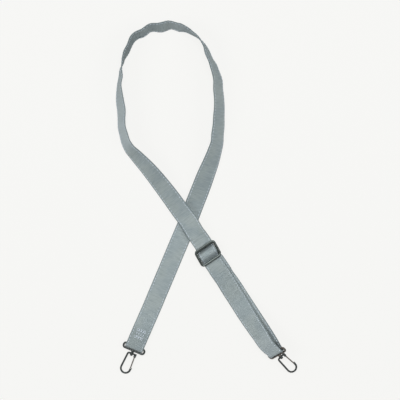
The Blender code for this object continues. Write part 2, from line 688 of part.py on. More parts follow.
def strap_runs(left, right):
    """The four stretches of the one strap, from the left sewn end to the slider's sewn end."""
    along = heading(SLIDER_HEADING_PX)
    across = left_of(along)
    middle = slider_origin()
    foot_plan = Vector((middle.x, middle.y, 0.0))
    end_bar = slider_size()[2] + SLIDER_CROSS_BAR / 2
    entry = end_bar + WEAVE_ENTRY

    def by_slider(distance, layers, tilt=0.0):
        spot = foot_plan + along * distance
        return spot.x, spot.y, tilt, layers

    def level(points):
        return [(spot, across) for spot in points]

    tail_px = [(x_px, y_px, tilt, 0.0) for x_px, y_px, tilt, _ in LEFT_LEG_PX[:2]]
    tail_path = smooth([left.lead(-1, 0.0)] + laid(tail_px))
    tail = shortened(joined(*tail_path), SEWN_TAIL)[::-1]
    leg = [left.lead(1, 0.0)] + laid(LEFT_LEG_PX + LOOP_PX + CROSSING_PX)
    leg += [by_slider(-UPPER_RUN, LONG_STRAND_LAYERS, UPPER_RUN_TILT)]
    leg += [by_slider(-distance, LONG_STRAND_LAYERS) for distance in (entry, end_bar)]
    spans = smooth(leg)
    loop = joined(tail, left.fold(-1), *spans[:-2])

    long_radius = fold_radius() + LAYER
    long_height = slider_underside() - LAYER + STRAP_THICKNESS / 2
    start, crown, stop = over_bar(middle, along, long_radius, long_height)
    first = start - along * (end_bar - (middle - start).dot(along))
    last = stop + along * (end_bar - (stop - middle).dot(along))
    weave = level(round_corners([first, start], LAYER) + crown + [stop, last])
    below = [by_slider(distance, LONG_STRAND_LAYERS) for distance in (end_bar, entry, SLIDER_TAIL + LAYER)]
    front = smooth(below + laid(FRONT_RUN_PX) + [right.lead(1, EYE_LEAD), right.lead(1, 0.0)])
    front_run = joined(*spans[-2:], weave, *front, right.fold(1))

    parting = SLIDER_TAIL + TAIL_END_GAP
    back = smooth([by_slider(parting, 0.0), by_slider(parting + LAYER, 0.0)] + laid(RETURN_RUN_PX)
                  + [right.lead(-1, EYE_LEAD), right.lead(-1, 0.0)])
    return_run = joined(*back)[::-1]

    tail_radius = fold_radius()
    _, crown, stop = over_bar(middle, along, tail_radius, LAYER + STRAP_THICKNESS / 2)
    foot = (stop - middle).dot(along) - LAYER / 2
    under = [foot_plan + along * parting, foot_plan + along * foot]
    under = [spot + UP * STRAP_THICKNESS / 2 for spot in under] + [middle - UP * tail_radius]
    half_turn = turn_round(middle, across, -UP, -along, tail_radius)
    tail_end = foot_plan + along * SLIDER_TAIL + UP * stop.z
    down = level(crown[CROWN_STEPS:] + [stop, tail_end])
    sewn_end = joined(level(round_corners(under, LAYER)), half_turn, down)
    return loop, front_run, return_run, sewn_end


def shortened(run, length):
    """Keep a run up to a given length from its start."""
    kept, walked = [run[0]], 0.0
    for (a, across_a), (b, across_b) in zip(run, run[1:]):
        step = (b - a).length
        if walked + step >= length:
            share = (length - walked) / step
            kept.append((a.lerp(b, share), across_a.lerp(across_b, share)))
            return kept
        kept.append((b, across_b))
        walked += step
    return kept


def run_length(run):
    return sum((b[0] - a[0]).length for a, b in zip(run, run[1:]))


def build():
    clear_scene()
    group = collection("bag_strap")
    tools = collection("bag_strap_tools")
    cloth = finish("woven_webbing", srgb(152, 164, 167), 0.9, 0.0)
    metal = finish("gunmetal_plating", srgb(78, 80, 80), 0.35, 1.0)
    steel = finish("spring_steel", srgb(150, 150, 148), 0.3, 1.0)
    origin = empty("strap_origin", Matrix.Identity(4), None, group)

    left_heading = heading(LEFT_HEADING_PX)
    right_heading = heading(RIGHT_HEADING_PX)
    left = StrapEnd(LEFT_BAR_PX, -left_heading, left_of(left_heading), LEFT_END_TILT)
    right = StrapEnd(RIGHT_BAR_PX, right_heading, left_of(right_heading), RIGHT_END_TILT)

    names = ("strap_loop", "strap_front_run", "strap_return_run", "strap_sewn_end")
    meets = ((False, True), (True, True), (True, True), (True, False))
    for name, run, (start, end) in zip(names, strap_runs(left, right), meets):
        webbing(name, drawn_back(run, start, end), origin, cloth, group)
        print(f"{name}: {run_length(run):.4f} m")

    along = heading(SLIDER_HEADING_PX)
    axes = Matrix((-left_of(along), along, UP)).transposed().to_4x4()
    slider = empty("slider_travel", Matrix.Translation(slider_origin()) @ axes, origin, group)
    slider_frame(slider, metal, group)

    for side, end in (("left", left), ("right", right)):
        eye = empty(f"{side}_eye_swing", end.frame(), origin, group)
        swivel_eye(side, eye, metal, group, tools)
        turn = Matrix.Translation((0.0, bridge_drop(), 0.0)) @ Matrix.Rotation(end.swivel(), 4, "Y")
        hook = empty(f"{side}_hook_swivel", turn, eye, group)
        hook_body(side, hook, metal, group, tools)
        gate_pin(side, hook, steel, group)
        gate_spring(side, hook, steel, group)
        hinge = empty(f"{side}_gate_hinge", Matrix.Translation(gate_pin_spot()), hook, group)
        gate(side, hinge, metal, group, tools)
    centre_on_origin(origin, group)


def centre_on_origin(origin, group):
    """Move the whole strap so that the middle of its footprint stands on the origin."""
    bpy.context.view_layer.update()
    depsgraph = bpy.context.evaluated_depsgraph_get()
    corners = []
    for obj in group.objects:
        if obj.type == "MESH":
            shown = obj.evaluated_get(depsgraph)
            corners += [shown.matrix_world @ vert.co for vert in shown.data.vertices]
    low = [min(corner[axis] for corner in corners) for axis in range(3)]
    high = [max(corner[axis] for corner in corners) for axis in range(3)]
    origin.location = (-(low[0] + high[0]) / 2, -(low[1] + high[1]) / 2, -low[2])


build()
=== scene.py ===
"""A detachable bag strap, dressed: woven webbing with its stitching, a slider and two swivel snap hooks.

The webbing is one strap of about 1.29 m. It is swept along the route that the solids follow, and it is
parted only where the slider's travel bends it. Metres, +Z up, +Y up the view, strap on the table at Z = 0.
"""
import json
import logging
import math
from dataclasses import dataclass, field
from enum import Enum
from typing import Any, Iterable, Sequence

import bmesh
import bpy
from mathutils import Matrix, Vector


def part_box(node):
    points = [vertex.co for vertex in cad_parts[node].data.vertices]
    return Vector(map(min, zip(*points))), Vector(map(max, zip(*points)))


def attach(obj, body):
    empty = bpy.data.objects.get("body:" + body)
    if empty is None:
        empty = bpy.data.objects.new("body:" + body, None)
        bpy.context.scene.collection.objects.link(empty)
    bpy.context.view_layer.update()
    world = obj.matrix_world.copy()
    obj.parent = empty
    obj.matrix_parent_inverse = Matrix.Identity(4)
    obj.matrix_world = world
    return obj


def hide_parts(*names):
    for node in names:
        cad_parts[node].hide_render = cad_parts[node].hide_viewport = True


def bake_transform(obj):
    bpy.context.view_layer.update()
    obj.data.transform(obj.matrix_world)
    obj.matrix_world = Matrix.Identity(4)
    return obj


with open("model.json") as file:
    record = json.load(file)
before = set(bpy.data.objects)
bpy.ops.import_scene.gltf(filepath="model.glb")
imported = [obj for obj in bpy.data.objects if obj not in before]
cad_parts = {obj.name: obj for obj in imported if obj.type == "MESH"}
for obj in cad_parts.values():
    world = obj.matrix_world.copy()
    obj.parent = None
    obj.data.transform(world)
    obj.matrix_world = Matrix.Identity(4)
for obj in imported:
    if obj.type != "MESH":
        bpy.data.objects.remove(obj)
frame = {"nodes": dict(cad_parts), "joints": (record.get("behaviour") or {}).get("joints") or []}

log = logging.getLogger("bag_strap")

MM = 0.001
UP = Vector((0.0, 0.0, 1.0))
VIEW_CENTRE = (-0.008801, -0.003459)
SAME_PLACE = 0.02 * MM         # cross-sections closer than this are one
LEAST_SPAN = 1e-9
SHARP_ANGLE = 40.0             # edges sharper than this stay crisp, in degrees

Run = list[tuple[Vector, Vector]]              # cross-sections: a centre and the unit vector across
Control = tuple[float, ...]                    # x, y, tilt in degrees and layers of webbing beneath
Inputs = Sequence[Any] | dict[Any, Any]        # a node's inputs, in order or by name or index


class Body(Enum):
    """The parts that move on their own."""

    WEBBING = "webbing"
    SLIDER = "slider"


class Slot(Enum):
    """The record's finishes."""

    WEBBING = "webbing"
    GUNMETAL = "gunmetal_hardware"
    STEEL = "steel_pins"


def linear(hex_colour: str) -> tuple[float, float, float, float]:
    """Turn an sRGB hex colour into the linear colour that a shader takes.

    Args:
        hex_colour: Six hex digits after a hash.

    Returns:
        Red, green, blue and an alpha of one.
    """
    values = (int(hex_colour[i:i + 2], 16) / 255 for i in (1, 3, 5))
    red, green, blue = (v / 12.92 if v <= 0.04045 else ((v + 0.055) / 1.055) ** 2.4 for v in values)
    return red, green, blue, 1.0


# Materials

class Shader:
    """The nodes of a material or of the world."""

    def __init__(self, owner: bpy.types.Material | bpy.types.World, first: str = "Principled BSDF",
                 last: str = "Material Output") -> None:
        """Open the nodes.

        Args:
            owner: The new material, named for the real finish, or the new world.
            first: The shader that it comes with.
            last: Its output.
        """
        owner.use_nodes = True
        self.owner, self.tree = owner, owner.node_tree
        self.first, self.last = self.tree.nodes[first], self.tree.nodes[last]

    def add(self, kind: str, inputs: Inputs = (), output: int | str = 0,
            **settings: Any) -> bpy.types.NodeSocket:
        """Add a node with its settings and its inputs.

        Args:
            kind: The node's type, without the ShaderNode prefix.
            inputs: Numbers, hex colours and sockets.
            output: Which output is wanted, by index or name.
            **settings: The node's own properties.

        Returns:
            The output's socket.
        """
        node = self.tree.nodes.new("ShaderNode" + kind)
        for key, value in settings.items():
            setattr(node, key, value)
        self.feed(node, inputs)
        return node.outputs[output]

    def feed(self, node: bpy.types.Node, inputs: Inputs) -> None:
        """Set a node's inputs to numbers or colours, or link sockets into them.

        Args:
            node: The node that is fed.
            inputs: Numbers, hex colours and sockets.
        """
        for key, value in inputs.items() if isinstance(inputs, dict) else enumerate(inputs):
            if isinstance(value, bpy.types.NodeSocket):
                self.tree.links.new(value, node.inputs[key])
            else:
                node.inputs[key].default_value = linear(value) if isinstance(value, str) else value

    def tinted(self, colour: Any, tints: Iterable[tuple[Any, float, float, float, str]]) -> Any:
        """Lay tints over a colour, each where a pattern passes from one level to another.

        Args:
            colour: The hex colour or socket beneath.
            tints: Each tint's pattern, the levels where it starts and is full, its full share and its colour.

        Returns:
            The last colour's socket.
        """
        for pattern, start, full, share, tint in tints:
            factor = self.add("MapRange", (pattern, start, full, 0.0, share), interpolation_type="SMOOTHSTEP")
            colour = self.add("Mix", {0: factor, 6: colour, 7: tint}, output=2, data_type="RGBA")
        return colour


@dataclass(frozen=True)
class WovenWebbing:
    """Polyester webbing in a rib weave: matte, with fine ribs across, mottled yarn, darker selvedges, and painted
    shade and painted light in runs along the strap.
    """

    width: float = 0.025
    yarn: str = "#A5B0B0"
    cool_yarn: str = "#9AA7AB"
    pale_yarn: str = "#B5BFC0"
    groove: str = "#7D898C"
    selvedge: str = "#6F7B7D"
    roughness: float = 0.88
    sheen: float = 0.03
    sheen_roughness: float = 0.5
    gloss: float = 0.2
    rib_pitch: float = 0.0021      # ribs are really about 1.2 mm apart, which is too fine to show
    warp_pitch: float = 0.0011
    warp_share: float = 0.35       # how far the warp breaks up the ribs
    fibre: float = 0.0006
    patch: float = 0.03            # of the broad changes of tone
    mottle_across: float = 0.0110
    mottle_along: float = 0.0020
    selvedge_width: float = 0.0011
    selvedge_fade: float = 0.6     # of that width
    relief: float = 0.0002
    # Painted shade and painted light along the strap: darker runs stand in for shade and contact shadow,
    # paler runs stand in for more light. Each row gives the middle along the strap, the reach to each side, how
    # much, and to what; the change is full over the middle share of that reach
    painted_light_core: float = 0.4
    painted_light_runs: tuple[tuple[float, float, float, str], ...] = (
        (0.050, 0.024, 0.28, "#5D696C"), (0.13, 0.09, 0.05, "#5D696C"), (0.266, 0.032, 0.16, "#5D696C"),
        (0.285, 0.05, 0.20, "#5D696C"), (0.508, 0.026, 0.32, "#CBD6DA"), (0.602, 0.032, 0.29, "#4E5857"),
        (0.665, 0.05, 0.30, "#CBD6DA"), (0.716, 0.028, 0.44, "#CBD6DA"), (0.782, 0.020, 0.12, "#5D696C"),
        (0.82, 0.05, 0.20, "#5D696C"), (0.878, 0.018, 0.11, "#5D696C"), (0.964, 0.040, 0.17, "#5D696C"),
        (1.074, 0.030, 0.28, "#CBD6DA"), (0.9052, 0.0050, 0.56, "#353D40"),
        (0.9256, 0.0030, 0.40, "#353D40"), (1.0935, 0.0090, 0.60, "#353D40"),
    )

    def build(self) -> bpy.types.Material:
        """Lay the weave out on the strap's own UV, in metres across and along.

        Returns:
            The material.
        """
        shader = Shader(bpy.data.materials.new("polyester_rib_webbing"))
        uv = shader.add("UVMap", uv_map=Webbing.UV_NAME)
        across, along, _ = shader.add("SeparateXYZ", (uv,)).node.outputs
        waves = []
        for way, pitch in ((along, self.rib_pitch), (across, self.warp_pitch)):
            turns = shader.add("Math", (way, math.tau / pitch), operation="MULTIPLY")
            waves.append(shader.add("Math", (turns,), operation="SINE"))
        warp = shader.add("Math", (waves[1], self.warp_share), operation="MULTIPLY")
        broken = shader.add("Math", (warp, 1 - self.warp_share), operation="ADD")
        weave = shader.add("Math", (waves[0], broken), operation="MULTIPLY")

        scale = (1 / self.mottle_across, 1 / self.mottle_along, 1.0)
        stretched = shader.add("Mapping", {"Vector": uv, "Scale": scale})
        mottle, broad, fibres = (
            shader.add("TexNoise", {"Vector": place, "Scale": size, "Detail": detail, "Roughness": rough},
                       noise_dimensions="2D")
            for place, size, detail, rough in ((stretched, 1.0, 3.0, 0.6), (uv, 1 / self.patch, 2.0, 0.5),
                                               (uv, 1 / self.fibre, 2.0, 0.5)))

        tints = [(broad, 0.38, 0.62, 0.7, self.cool_yarn), (mottle, 0.45, 0.75, 0.42, self.pale_yarn),
                 (mottle, 0.48, 0.25, 0.36, self.groove), (weave, 0.2, -0.9, 0.22, self.groove),
                 (fibres, 0.5, 0.8, 0.2, self.pale_yarn)]
        # Painted shade and painted light: each run darkens or lightens the yarn along the strap
        for middle, reach, share, painted_tone in self.painted_light_runs:
            offset = shader.add("Math", (along, middle), operation="SUBTRACT")
            away = shader.add("Math", (offset,), operation="ABSOLUTE")
            tints.append((away, reach, reach * self.painted_light_core, share, painted_tone))
        rim = self.width / 2 - self.selvedge_width
        side = shader.add("Math", (across,), operation="ABSOLUTE")
        tints.append((side, rim, rim + self.selvedge_width * self.selvedge_fade, 0.8, self.selvedge))

        parts = [shader.add("Math", (pattern, share), operation="MULTIPLY")
                 for pattern, share in ((weave, 0.5), (fibres, 0.6))]
        height = shader.add("Math", parts, operation="ADD")
        bump = shader.add("Bump", {"Strength": 0.35, "Distance": self.relief, "Height": height})
        shader.feed(shader.first, {"Base Color": shader.tinted(self.yarn, tints), "Normal": bump,
                                   "Roughness": self.roughness, "Sheen Weight": self.sheen,
                                   "Sheen Roughness": self.sheen_roughness, "Specular IOR Level": self.gloss})
        return shader.owner


@dataclass(frozen=True)
class SewingThread:
    """Bonded polyester thread: paler than the webbing, twisted, with a slight gloss."""

    pale: str = "#D6E0EA"
    shade: str = "#B6C1CC"
    twist: float = 0.0005
    relief: float = 0.00005
    roughness: float = 0.6

    def build(self) -> bpy.types.Material:
        """Make the twist from fine bands in object space.

        Returns:
            The material.
        """
        shader = Shader(bpy.data.materials.new("bonded_polyester_thread"))
        place = shader.add("TexCoord", output="Object")
        twist = shader.add("TexWave", {"Vector": place, "Scale": 1 / self.twist / 2, "Distortion": 0.5},
                           output="Fac", bands_direction="DIAGONAL")
        colour = shader.tinted(self.shade, ((twist, 0.2, 0.8, 1.0, self.pale),))
        bump = shader.add("Bump", {"Strength": 0.3, "Distance": self.relief, "Height": twist})
        shader.feed(shader.first, {"Base Color": colour, "Normal": bump, "Roughness": self.roughness})
        return shader.owner


@dataclass(frozen=True)
class GunmetalPlating:
    """Black nickel over cast zinc: a dark mirror with soft flow marks and faint handling wear."""

    name: str
    plate: str
    worn: str
    roughness: float = 0.38
    flow: float = 0.006
    grain: float = 0.0007
    flow_wear: tuple[float, float] = (0.5, 0.75)       # levels of the flow marks between which wear sets in
    grain_wear: tuple[float, float] = (0.45, 0.7)
    wear_share: float = 0.5
    flow_gloss: float = 0.16       # how far the flow marks change the roughness
    wear_gloss: float = 0.12
    relief: float = 0.00005

    def build(self) -> bpy.types.Material:
        """Vary the plating's colour and gloss over the casting.

        Returns:
            The material.
        """
        shader = Shader(bpy.data.materials.new(self.name))
        place = shader.add("TexCoord", output="Object")
        flow, grain = (shader.add("TexNoise", {"Vector": place, "Scale": 1 / size, "Detail": detail})
                       for size, detail in ((self.flow, 2.0), (self.grain, 3.0)))
        marks = [shader.add("MapRange", (pattern, *levels, 0.0, 1.0), interpolation_type="SMOOTHSTEP")
                 for pattern, levels in ((flow, self.flow_wear), (grain, self.grain_wear))]
        worn = shader.add("Math", marks, operation="MULTIPLY")
        share, varied, dulled = (
            shader.add("Math", pair, operation="MULTIPLY")
            for pair in ((worn, self.wear_share), (flow, self.flow_gloss), (worn, self.wear_gloss)))
        colour = shader.add("Mix", {0: share, 6: self.plate, 7: self.worn}, output=2, data_type="RGBA")
        gloss = shader.add("Math", (varied, self.roughness - self.flow_gloss / 2), operation="ADD")
        gloss = shader.add("Math", (gloss, dulled), operation="ADD")
        bump = shader.add("Bump", {"Strength": 0.05, "Distance": self.relief, "Height": grain})
        shader.feed(shader.first, {"Base Color": colour, "Metallic": 1.0, "Roughness": gloss, "Normal": bump})
        return shader.owner


class Plating(Enum):
    """The plating as it is found on the strap."""

    TUMBLED = GunmetalPlating("gunmetal_plated_zinc", "#393D3D", "#4B4D49")
    POLISHED = GunmetalPlating("polished_gunmetal_plating", "#3E4342", "#4B4D49", 0.2)
    # Paler, browner plating: handling wear on the gates, and a painted reflection on the right eye
    RUBBED_OR_LIT = GunmetalPlating("rubbed_or_lit_gunmetal_plating", "#5B5753", "#6A6660")     # browner where it is handled


@dataclass(frozen=True)
class DrawnSteel:
    """Drawn spring steel wire: bright, with fine lines along the draw."""

    bright: str = "#A6A6A2"
    dull: str = "#7E7E7A"
    line_width: float = 0.0002
    roughness: float = 0.3

    def build(self) -> bpy.types.Material:
        """Streak the wire's colour.

        Returns:
            The material.
        """
        shader = Shader(bpy.data.materials.new("drawn_spring_steel"))
        place = shader.add("TexCoord", output="Object")
        lines = shader.add("TexNoise", {"Vector": place, "Scale": 1 / self.line_width, "Detail": 2.0})
        colour = shader.tinted(self.dull, ((lines, 0.35, 0.65, 1.0, self.bright),))
        shader.feed(shader.first, {"Base Color": colour, "Metallic": 1.0, "Roughness": self.roughness})
        return shader.owner


# Webbing: a run of cross-sections, each a centre and the unit vector across the strap

@dataclass(frozen=True)
class Station:
    """One cross-section: its centre, the direction across the strap and the surface's normal."""

    centre: Vector
    across: Vector
    normal: Vector
    walked: float


@dataclass(frozen=True)
class Sizes:
    """The webbing, and the metal that it passes, in metres."""

    width: float = 0.025
    thickness: float = 0.0014
    gap: float = 0.0003            # air between webbing and whatever it lies on or wraps round
    step: float = 0.0022           # spacing of the cross-sections
    step_slack: float = 1.2        # how many of these steps two may lie apart
    turn_steps: int = 22
    corner_steps: int = 6
    crown_steps: int = 7
    sewn_tail: float = 0.0305
    slider_tail: float = 0.032
    eye_lead: float = 0.004
    long_strand_layers: float = 2.0
    cross_bar: float = 0.0026
    slider_thickness: float = 0.0025
    slider_slot: float = 0.0073
    slider_edge: float = 0.0005
    weave_angle: float = 55.0
    weave_entry: float = 0.0030
    upper_run: float = 0.028
    upper_run_tilt: float = 6.0
    eye_wire: float = 0.0027
    fold_slack: float = 0.0021     # how far a fold stands off past the bar that it turns round

    @property
    def layer(self) -> float:
        """One thickness of webbing and the air over it."""
        return self.thickness + self.gap

    @property
    def wrap_radius(self) -> float:
        """Radius of the webbing's centre line round an eye's bar."""
        return self.eye_wire / 2 + self.gap + self.thickness / 2

    @property
    def fold_radius(self) -> float:
        """Radius of the sewn end's centre line round the slider's centre bar."""
        flat = math.hypot(self.cross_bar / 2 - self.slider_edge, self.slider_thickness / 2 - self.slider_edge)
        return flat + self.slider_edge + self.gap + self.thickness / 2

    @property
    def end_bar(self) -> float:
        """From the slider's centre over half the centre bar, a slot and an end bar."""
        return self.slider_slot + self.cross_bar * 1.5


def rest_height(tilt: float, sizes: Sizes) -> float:
    """Height of the strap's centre when its lower edge touches the table.

    Args:
        tilt: Degrees from lying flat.
        sizes: The webbing's sizes.

    Returns:
        The height in metres.
    """
    angle = math.radians(tilt)
    return sizes.width / 2 * abs(math.sin(angle)) + sizes.thickness / 2 * abs(math.cos(angle))


@dataclass(frozen=True)
class StrapEnd:
    """Where the webbing folds round an eye's bar, read from the joint that the eye swings on."""

    bar: Vector
    outward: Vector
    across: Vector
    normal: Vector
    tilt: float

    @classmethod
    def from_joint(cls, side: str, tilt: float) -> "StrapEnd":
        """Read the bar's place and direction.

        Args:
            side: left or right.
            tilt: How far the fold is turned up on its edge, in degrees.

        Returns:
            The end.
        """
        joint = named_joint(f"{side}_eye_swing")
        across = Vector(joint["axis"])
        inner = Vector((across.x, across.y, 0.0)).normalized()
        sign = -1.0 if side == "right" else 1.0
        inner, across = inner * sign, across * sign
        angle = math.radians(tilt)
        normal = UP * math.cos(angle) - inner * math.sin(angle)
        travel = across.cross(normal)
        return cls(Vector(joint["pos_m"]), travel if side == "right" else -travel, across, normal, tilt)

    def strand(self, side: int, sizes: Sizes) -> Vector:
        """Where a strand is level with the bar, on the upper (1) or the lower (-1) side of the fold."""
        return self.bar + self.normal * sizes.wrap_radius * side

    def lead(self, side: int, distance: float, sizes: Sizes) -> Control:
        """A control on a strand, this far from the bar.

        Args:
            side: 1 for the upper strand and -1 for the lower.
            distance: How far back from the bar, in metres.
            sizes: The webbing's sizes.

        Returns:
            x, y, tilt and layers beneath.
        """
        spot = self.strand(side, sizes) - self.outward * distance
        layers = (spot.z - rest_height(self.tilt, sizes)) / sizes.layer
        return spot.x, spot.y, self.tilt, layers


def named_joint(name: str) -> dict[str, Any]:
    """Find a joint of the frame by its name."""
    return next(joint for joint in frame["joints"] if joint["name"] == name)


class Route:
    """The strap's way over the table, as smooth runs of cross-sections through listed controls."""

    # x and y in millimetres from the middle of the view, tilt in degrees with the loop's inner edge up, and the
    # layers of webbing beneath, of which the loop has none
    LEFT_LEG = (
        (-82.1, -184.0, 0.0, 1.0), (-74.3, -166.0, 0.0, 1.0), (-66.0, -147.2, 0.0, 0.0), (-55.8, -123.0, 0.0, 0.0),
        (-44.1, -95.3, 0.0, 0.0), (-32.4, -67.5, 0.0, 0.0), (-15.6, -27.4, 1.0, 0.0), (-7.7, -6.5, 3.0, 0.0),
        (1.6, 17.1, 9.0, 0.0), (8.7, 35.8, 20.0, 0.0), (14.5, 50.3, 31.0, 0.0), (20.1, 67.0, 42.5, 0.0),
    )
    LOOP = tuple((x, y, tilt, 0.0) for x, y, tilt in (
        (22.7, 76.4, 47.4), (23.5, 87.8, 48.8), (24.9, 99.7, 51.2), (25.3, 112.2, 53.6), (25.9, 123.9, 56.3),
        (25.6, 136.1, 58.1), (24.3, 149.0, 59.2), (24.0, 160.4, 61.5), (21.0, 171.2, 66.1), (17.8, 180.6, 68.2),
        (14.1, 188.3, 74.3), (10.2, 197.2, 73.7), (8.5, 201.7, 76.7), (6.7, 206.2, 81.2), (4.1, 210.2, 84.3),
        (1.2, 214.1, 87.9), (-2.2, 217.9, 91.5), (-6.3, 221.1, 95.0), (-10.4, 223.7, 98.1), (-14.4, 226.4, 101.5),
        (-18.3, 228.5, 104.6), (-22.6, 230.1, 108.8), (-27.2, 231.3, 114.2), (-32.0, 232.7, 111.5),
        (-37.1, 234.2, 111.9), (-42.2, 234.4, 116.7), (-46.9, 233.0, 118.3), (-51.5, 231.6, 119.5),
        (-56.2, 231.2, 116.7), (-61.0, 231.5, 114.0), (-65.9, 231.1, 114.1), (-70.3, 228.9, 111.7),
        (-74.1, 225.8, 112.7), (-78.2, 223.3, 113.8), (-83.0, 221.7, 112.3), (-87.3, 219.1, 111.3),
        (-90.6, 215.5, 108.7), (-92.9, 211.1, 105.2), (-94.9, 206.7, 104.3), (-96.9, 202.4, 105.1),
        (-99.0, 198.2, 105.8), (-100.8, 193.8, 101.9), (-102.7, 189.4, 96.5), (-103.5, 184.8, 94.3),
        (-104.8, 180.3, 89.5), (-106.0, 175.7, 84.7), (-106.3, 166.0, 78.3), (-108.1, 156.3, 78.0),
        (-108.0, 142.1, 69.7), (-107.0, 131.0, 64.5), (-105.4, 120.2, 63.3), (-105.3, 108.1, 66.1),
        (-104.8, 97.2, 65.2), (-102.3, 87.9, 63.1), (-99.3, 77.4, 60.9), (-93.9, 68.0, 56.0), (-86.6, 60.2, 49.6),
        (-78.9, 52.1, 43.6), (-71.5, 44.1, 38.1), (-64.2, 35.6, 32.9),
    ))
    CROSSING = (
        (-50.7, 18.7, 24.0, 0.2), (-37.4, 1.1, 17.0, 0.9), (-25.8, -15.1, 13.0, 1.6), (-14.2, -30.6, 10.0, 1.7),
    )
    FRONT_RUN = (
        (36.8, -112.4, 4.0, 1.05), (51.2, -135.3, 10.0, 0.8), (62.5, -153.8, 18.0, 0.6), (72.6, -169.3, 24.0, 1.0),
        (79.6, -179.7, 28.5, 1.6), (87.1, -190.2, 33.5, 2.6),
    )
    RETURN_RUN = (
        (39.6, -110.9, 3.0, 0.0), (54.7, -133.2, 9.0, 0.0), (69.9, -155.4, 19.0, 0.0), (85.5, -177.3, 31.0, 0.0),
    )
    # Side steps of a strand near the slider: distance past the slider's centre and step to the loop's side, mm
    LONG_DRIFT = ((-48.0, 0.0), (-37.0, 0.6), (-29.0, 1.7), (-21.0, 1.95), (-13.0, 1.7), (-8.0, 0.7), (0.0, 0.0),
                  (8.0, -0.7), (20.0, -0.95), (28.0, -1.2), (35.0, -0.95), (43.0, -0.15), (51.0, 0.0),
                  (130.0, 0.0), (140.0, -0.8), (147.5, -2.1), (153.0, -2.5), (158.6, -0.6), (163.0, -0.45))
    TAIL_DRIFT = ((-6.0, 0.6), (4.0, 0.5), (14.0, 2.4), (27.5, 2.4), (35.0, 2.0), (43.0, 0.8), (52.0, 0.1),
                  (60.0, 0.0), (146.0, 0.0), (158.6, -0.6), (163.0, -0.45))
    LOOP_PARTING = 50              # the loop's control at which the strap starts to follow the slider

    def __init__(self, sizes: Sizes, left: StrapEnd, right: StrapEnd) -> None:
        """Lay the strap.

        Args:
            sizes: The webbing's sizes.
            left: The end at the left hook.
            right: The end at the right hook.
        """
        self.sizes, self.left, self.right = sizes, left, right
        low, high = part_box("slider_frame")
        self.middle = (low + high) / 2
        self.along = Vector(named_joint("slider_travel")["axis"]).normalized()
        self.across = UP.cross(self.along).normalized()
        self.foot = Vector((self.middle.x, self.middle.y, 0.0))

    def laid(self, table: Iterable[Control]) -> list[Control]:
        """Place a table's rows on the real table."""
        return [(x * MM + VIEW_CENTRE[0], y * MM + VIEW_CENTRE[1], tilt, layers) for x, y, tilt, layers in table]

    def by_slider(self, distance: float, layers: float, tilt: float = 0.0) -> Control:
        """A control on the slider's own line, this far below its centre."""
        spot = self.foot + self.along * distance
        return spot.x, spot.y, tilt, layers

    def smooth(self, controls: Sequence[Control]) -> list[Run]:
        """Cross-sections along a smooth curve through the controls.

        Args:
            controls: x, y, tilt and layers beneath, in order.

        Returns:
            One list of centres and across vectors for each span between two controls.
        """
        rows = [list(control) for control in controls]
        spacing = [math.dist(a[:2], b[:2]) for a, b in zip(rows, rows[1:])]
        slopes = [[(q - p) / h for p, q in zip(a, b)] for a, b, h in zip(rows, rows[1:], spacing)]
        tangents = [slopes[0]]
        for before, after, h0, h1 in zip(slopes, slopes[1:], spacing, spacing[1:]):
            mean = [(p * h1 + q * h0) / (h0 + h1) for p, q in zip(before, after)]
            limited = [0.0 if p * q <= 0.0 else m for p, q, m in zip(before, after, mean)]
            tangents.append(mean[:2] + limited[2:])
        tangents.append(slopes[-1])
        spans = []
        for a, b, ta, tb, h in zip(rows, rows[1:], tangents, tangents[1:], spacing):
            steps = max(2, round(h / self.sizes.step))
            spans.append([self.hermite(a, b, ta, tb, h, step / steps) for step in range(steps + 1)])
        return spans

    def hermite(self, a: Sequence[float], b: Sequence[float], slope_a: Sequence[float],
                slope_b: Sequence[float], span: float, share: float) -> tuple[Vector, Vector]:
        """One cross-section on the cubic between two controls.

        Args:
            a: The control before.
            b: The control after.
            slope_a: The rates of change at a.
            slope_b: The rates of change at b.
            span: The distance between them.
            share: How far along, from nought to one.

        Returns:
            The centre and the unit vector across.
        """
        s2, s3 = share ** 2, share ** 3
        weights = (2 * s3 - 3 * s2 + 1, s3 - 2 * s2 + share, 3 * s2 - 2 * s3, s3 - s2)
        rates = (6 * s2 - 6 * share, 3 * s2 - 4 * share + 1, 6 * share - 6 * s2, 3 * s2 - 2 * share)
        values = [[p, m * span, q, n * span] for p, m, q, n in zip(a, slope_a, b, slope_b)]
        x, y, tilt, layers = (sum(w * v for w, v in zip(weights, four)) for four in values)
        along = Vector([sum(r * v for r, v in zip(rates, four)) for four in values[:2]] + [0.0])
        centre = Vector((x, y, max(layers, 0.0) * self.sizes.layer + rest_height(tilt, self.sizes)))
        angle = math.radians(tilt)
        return centre, UP.cross(along).normalized() * math.cos(angle) + UP * math.sin(angle)

    def turn_round(self, centre: Vector, across: Vector, start: Vector, side: Vector, radius: float) -> Run:
        """Cross-sections of a half turn about a bar.

        Args:
            centre: The bar's centre.
            across: The unit vector across the strap.
            start: The direction in which the turn starts.
            side: The direction that it passes through half way.
            radius: The turn's radius.

        Returns:
            Centres and across vectors.
        """
        steps = self.sizes.turn_steps
        angles = (math.pi * step / steps for step in range(steps + 1))
        return [(centre + (start * math.cos(a) + side * math.sin(a)) * radius, across) for a in angles]

    def fold(self, end: StrapEnd, side: int) -> Run:
        """Cross-sections round an eye's bar, from the strand on one side of it to the other strand.

        Args:
            end: The end of the strap.
            side: 1 to start on the upper strand and -1 on the lower.

        Returns:
            Centres and across vectors.
        """
        middle = end.bar + end.outward * self.sizes.fold_slack
        turn = self.turn_round(middle, end.across, end.normal * side, end.outward, self.sizes.wrap_radius)
        return turn + [(end.strand(-side, self.sizes), end.across)]

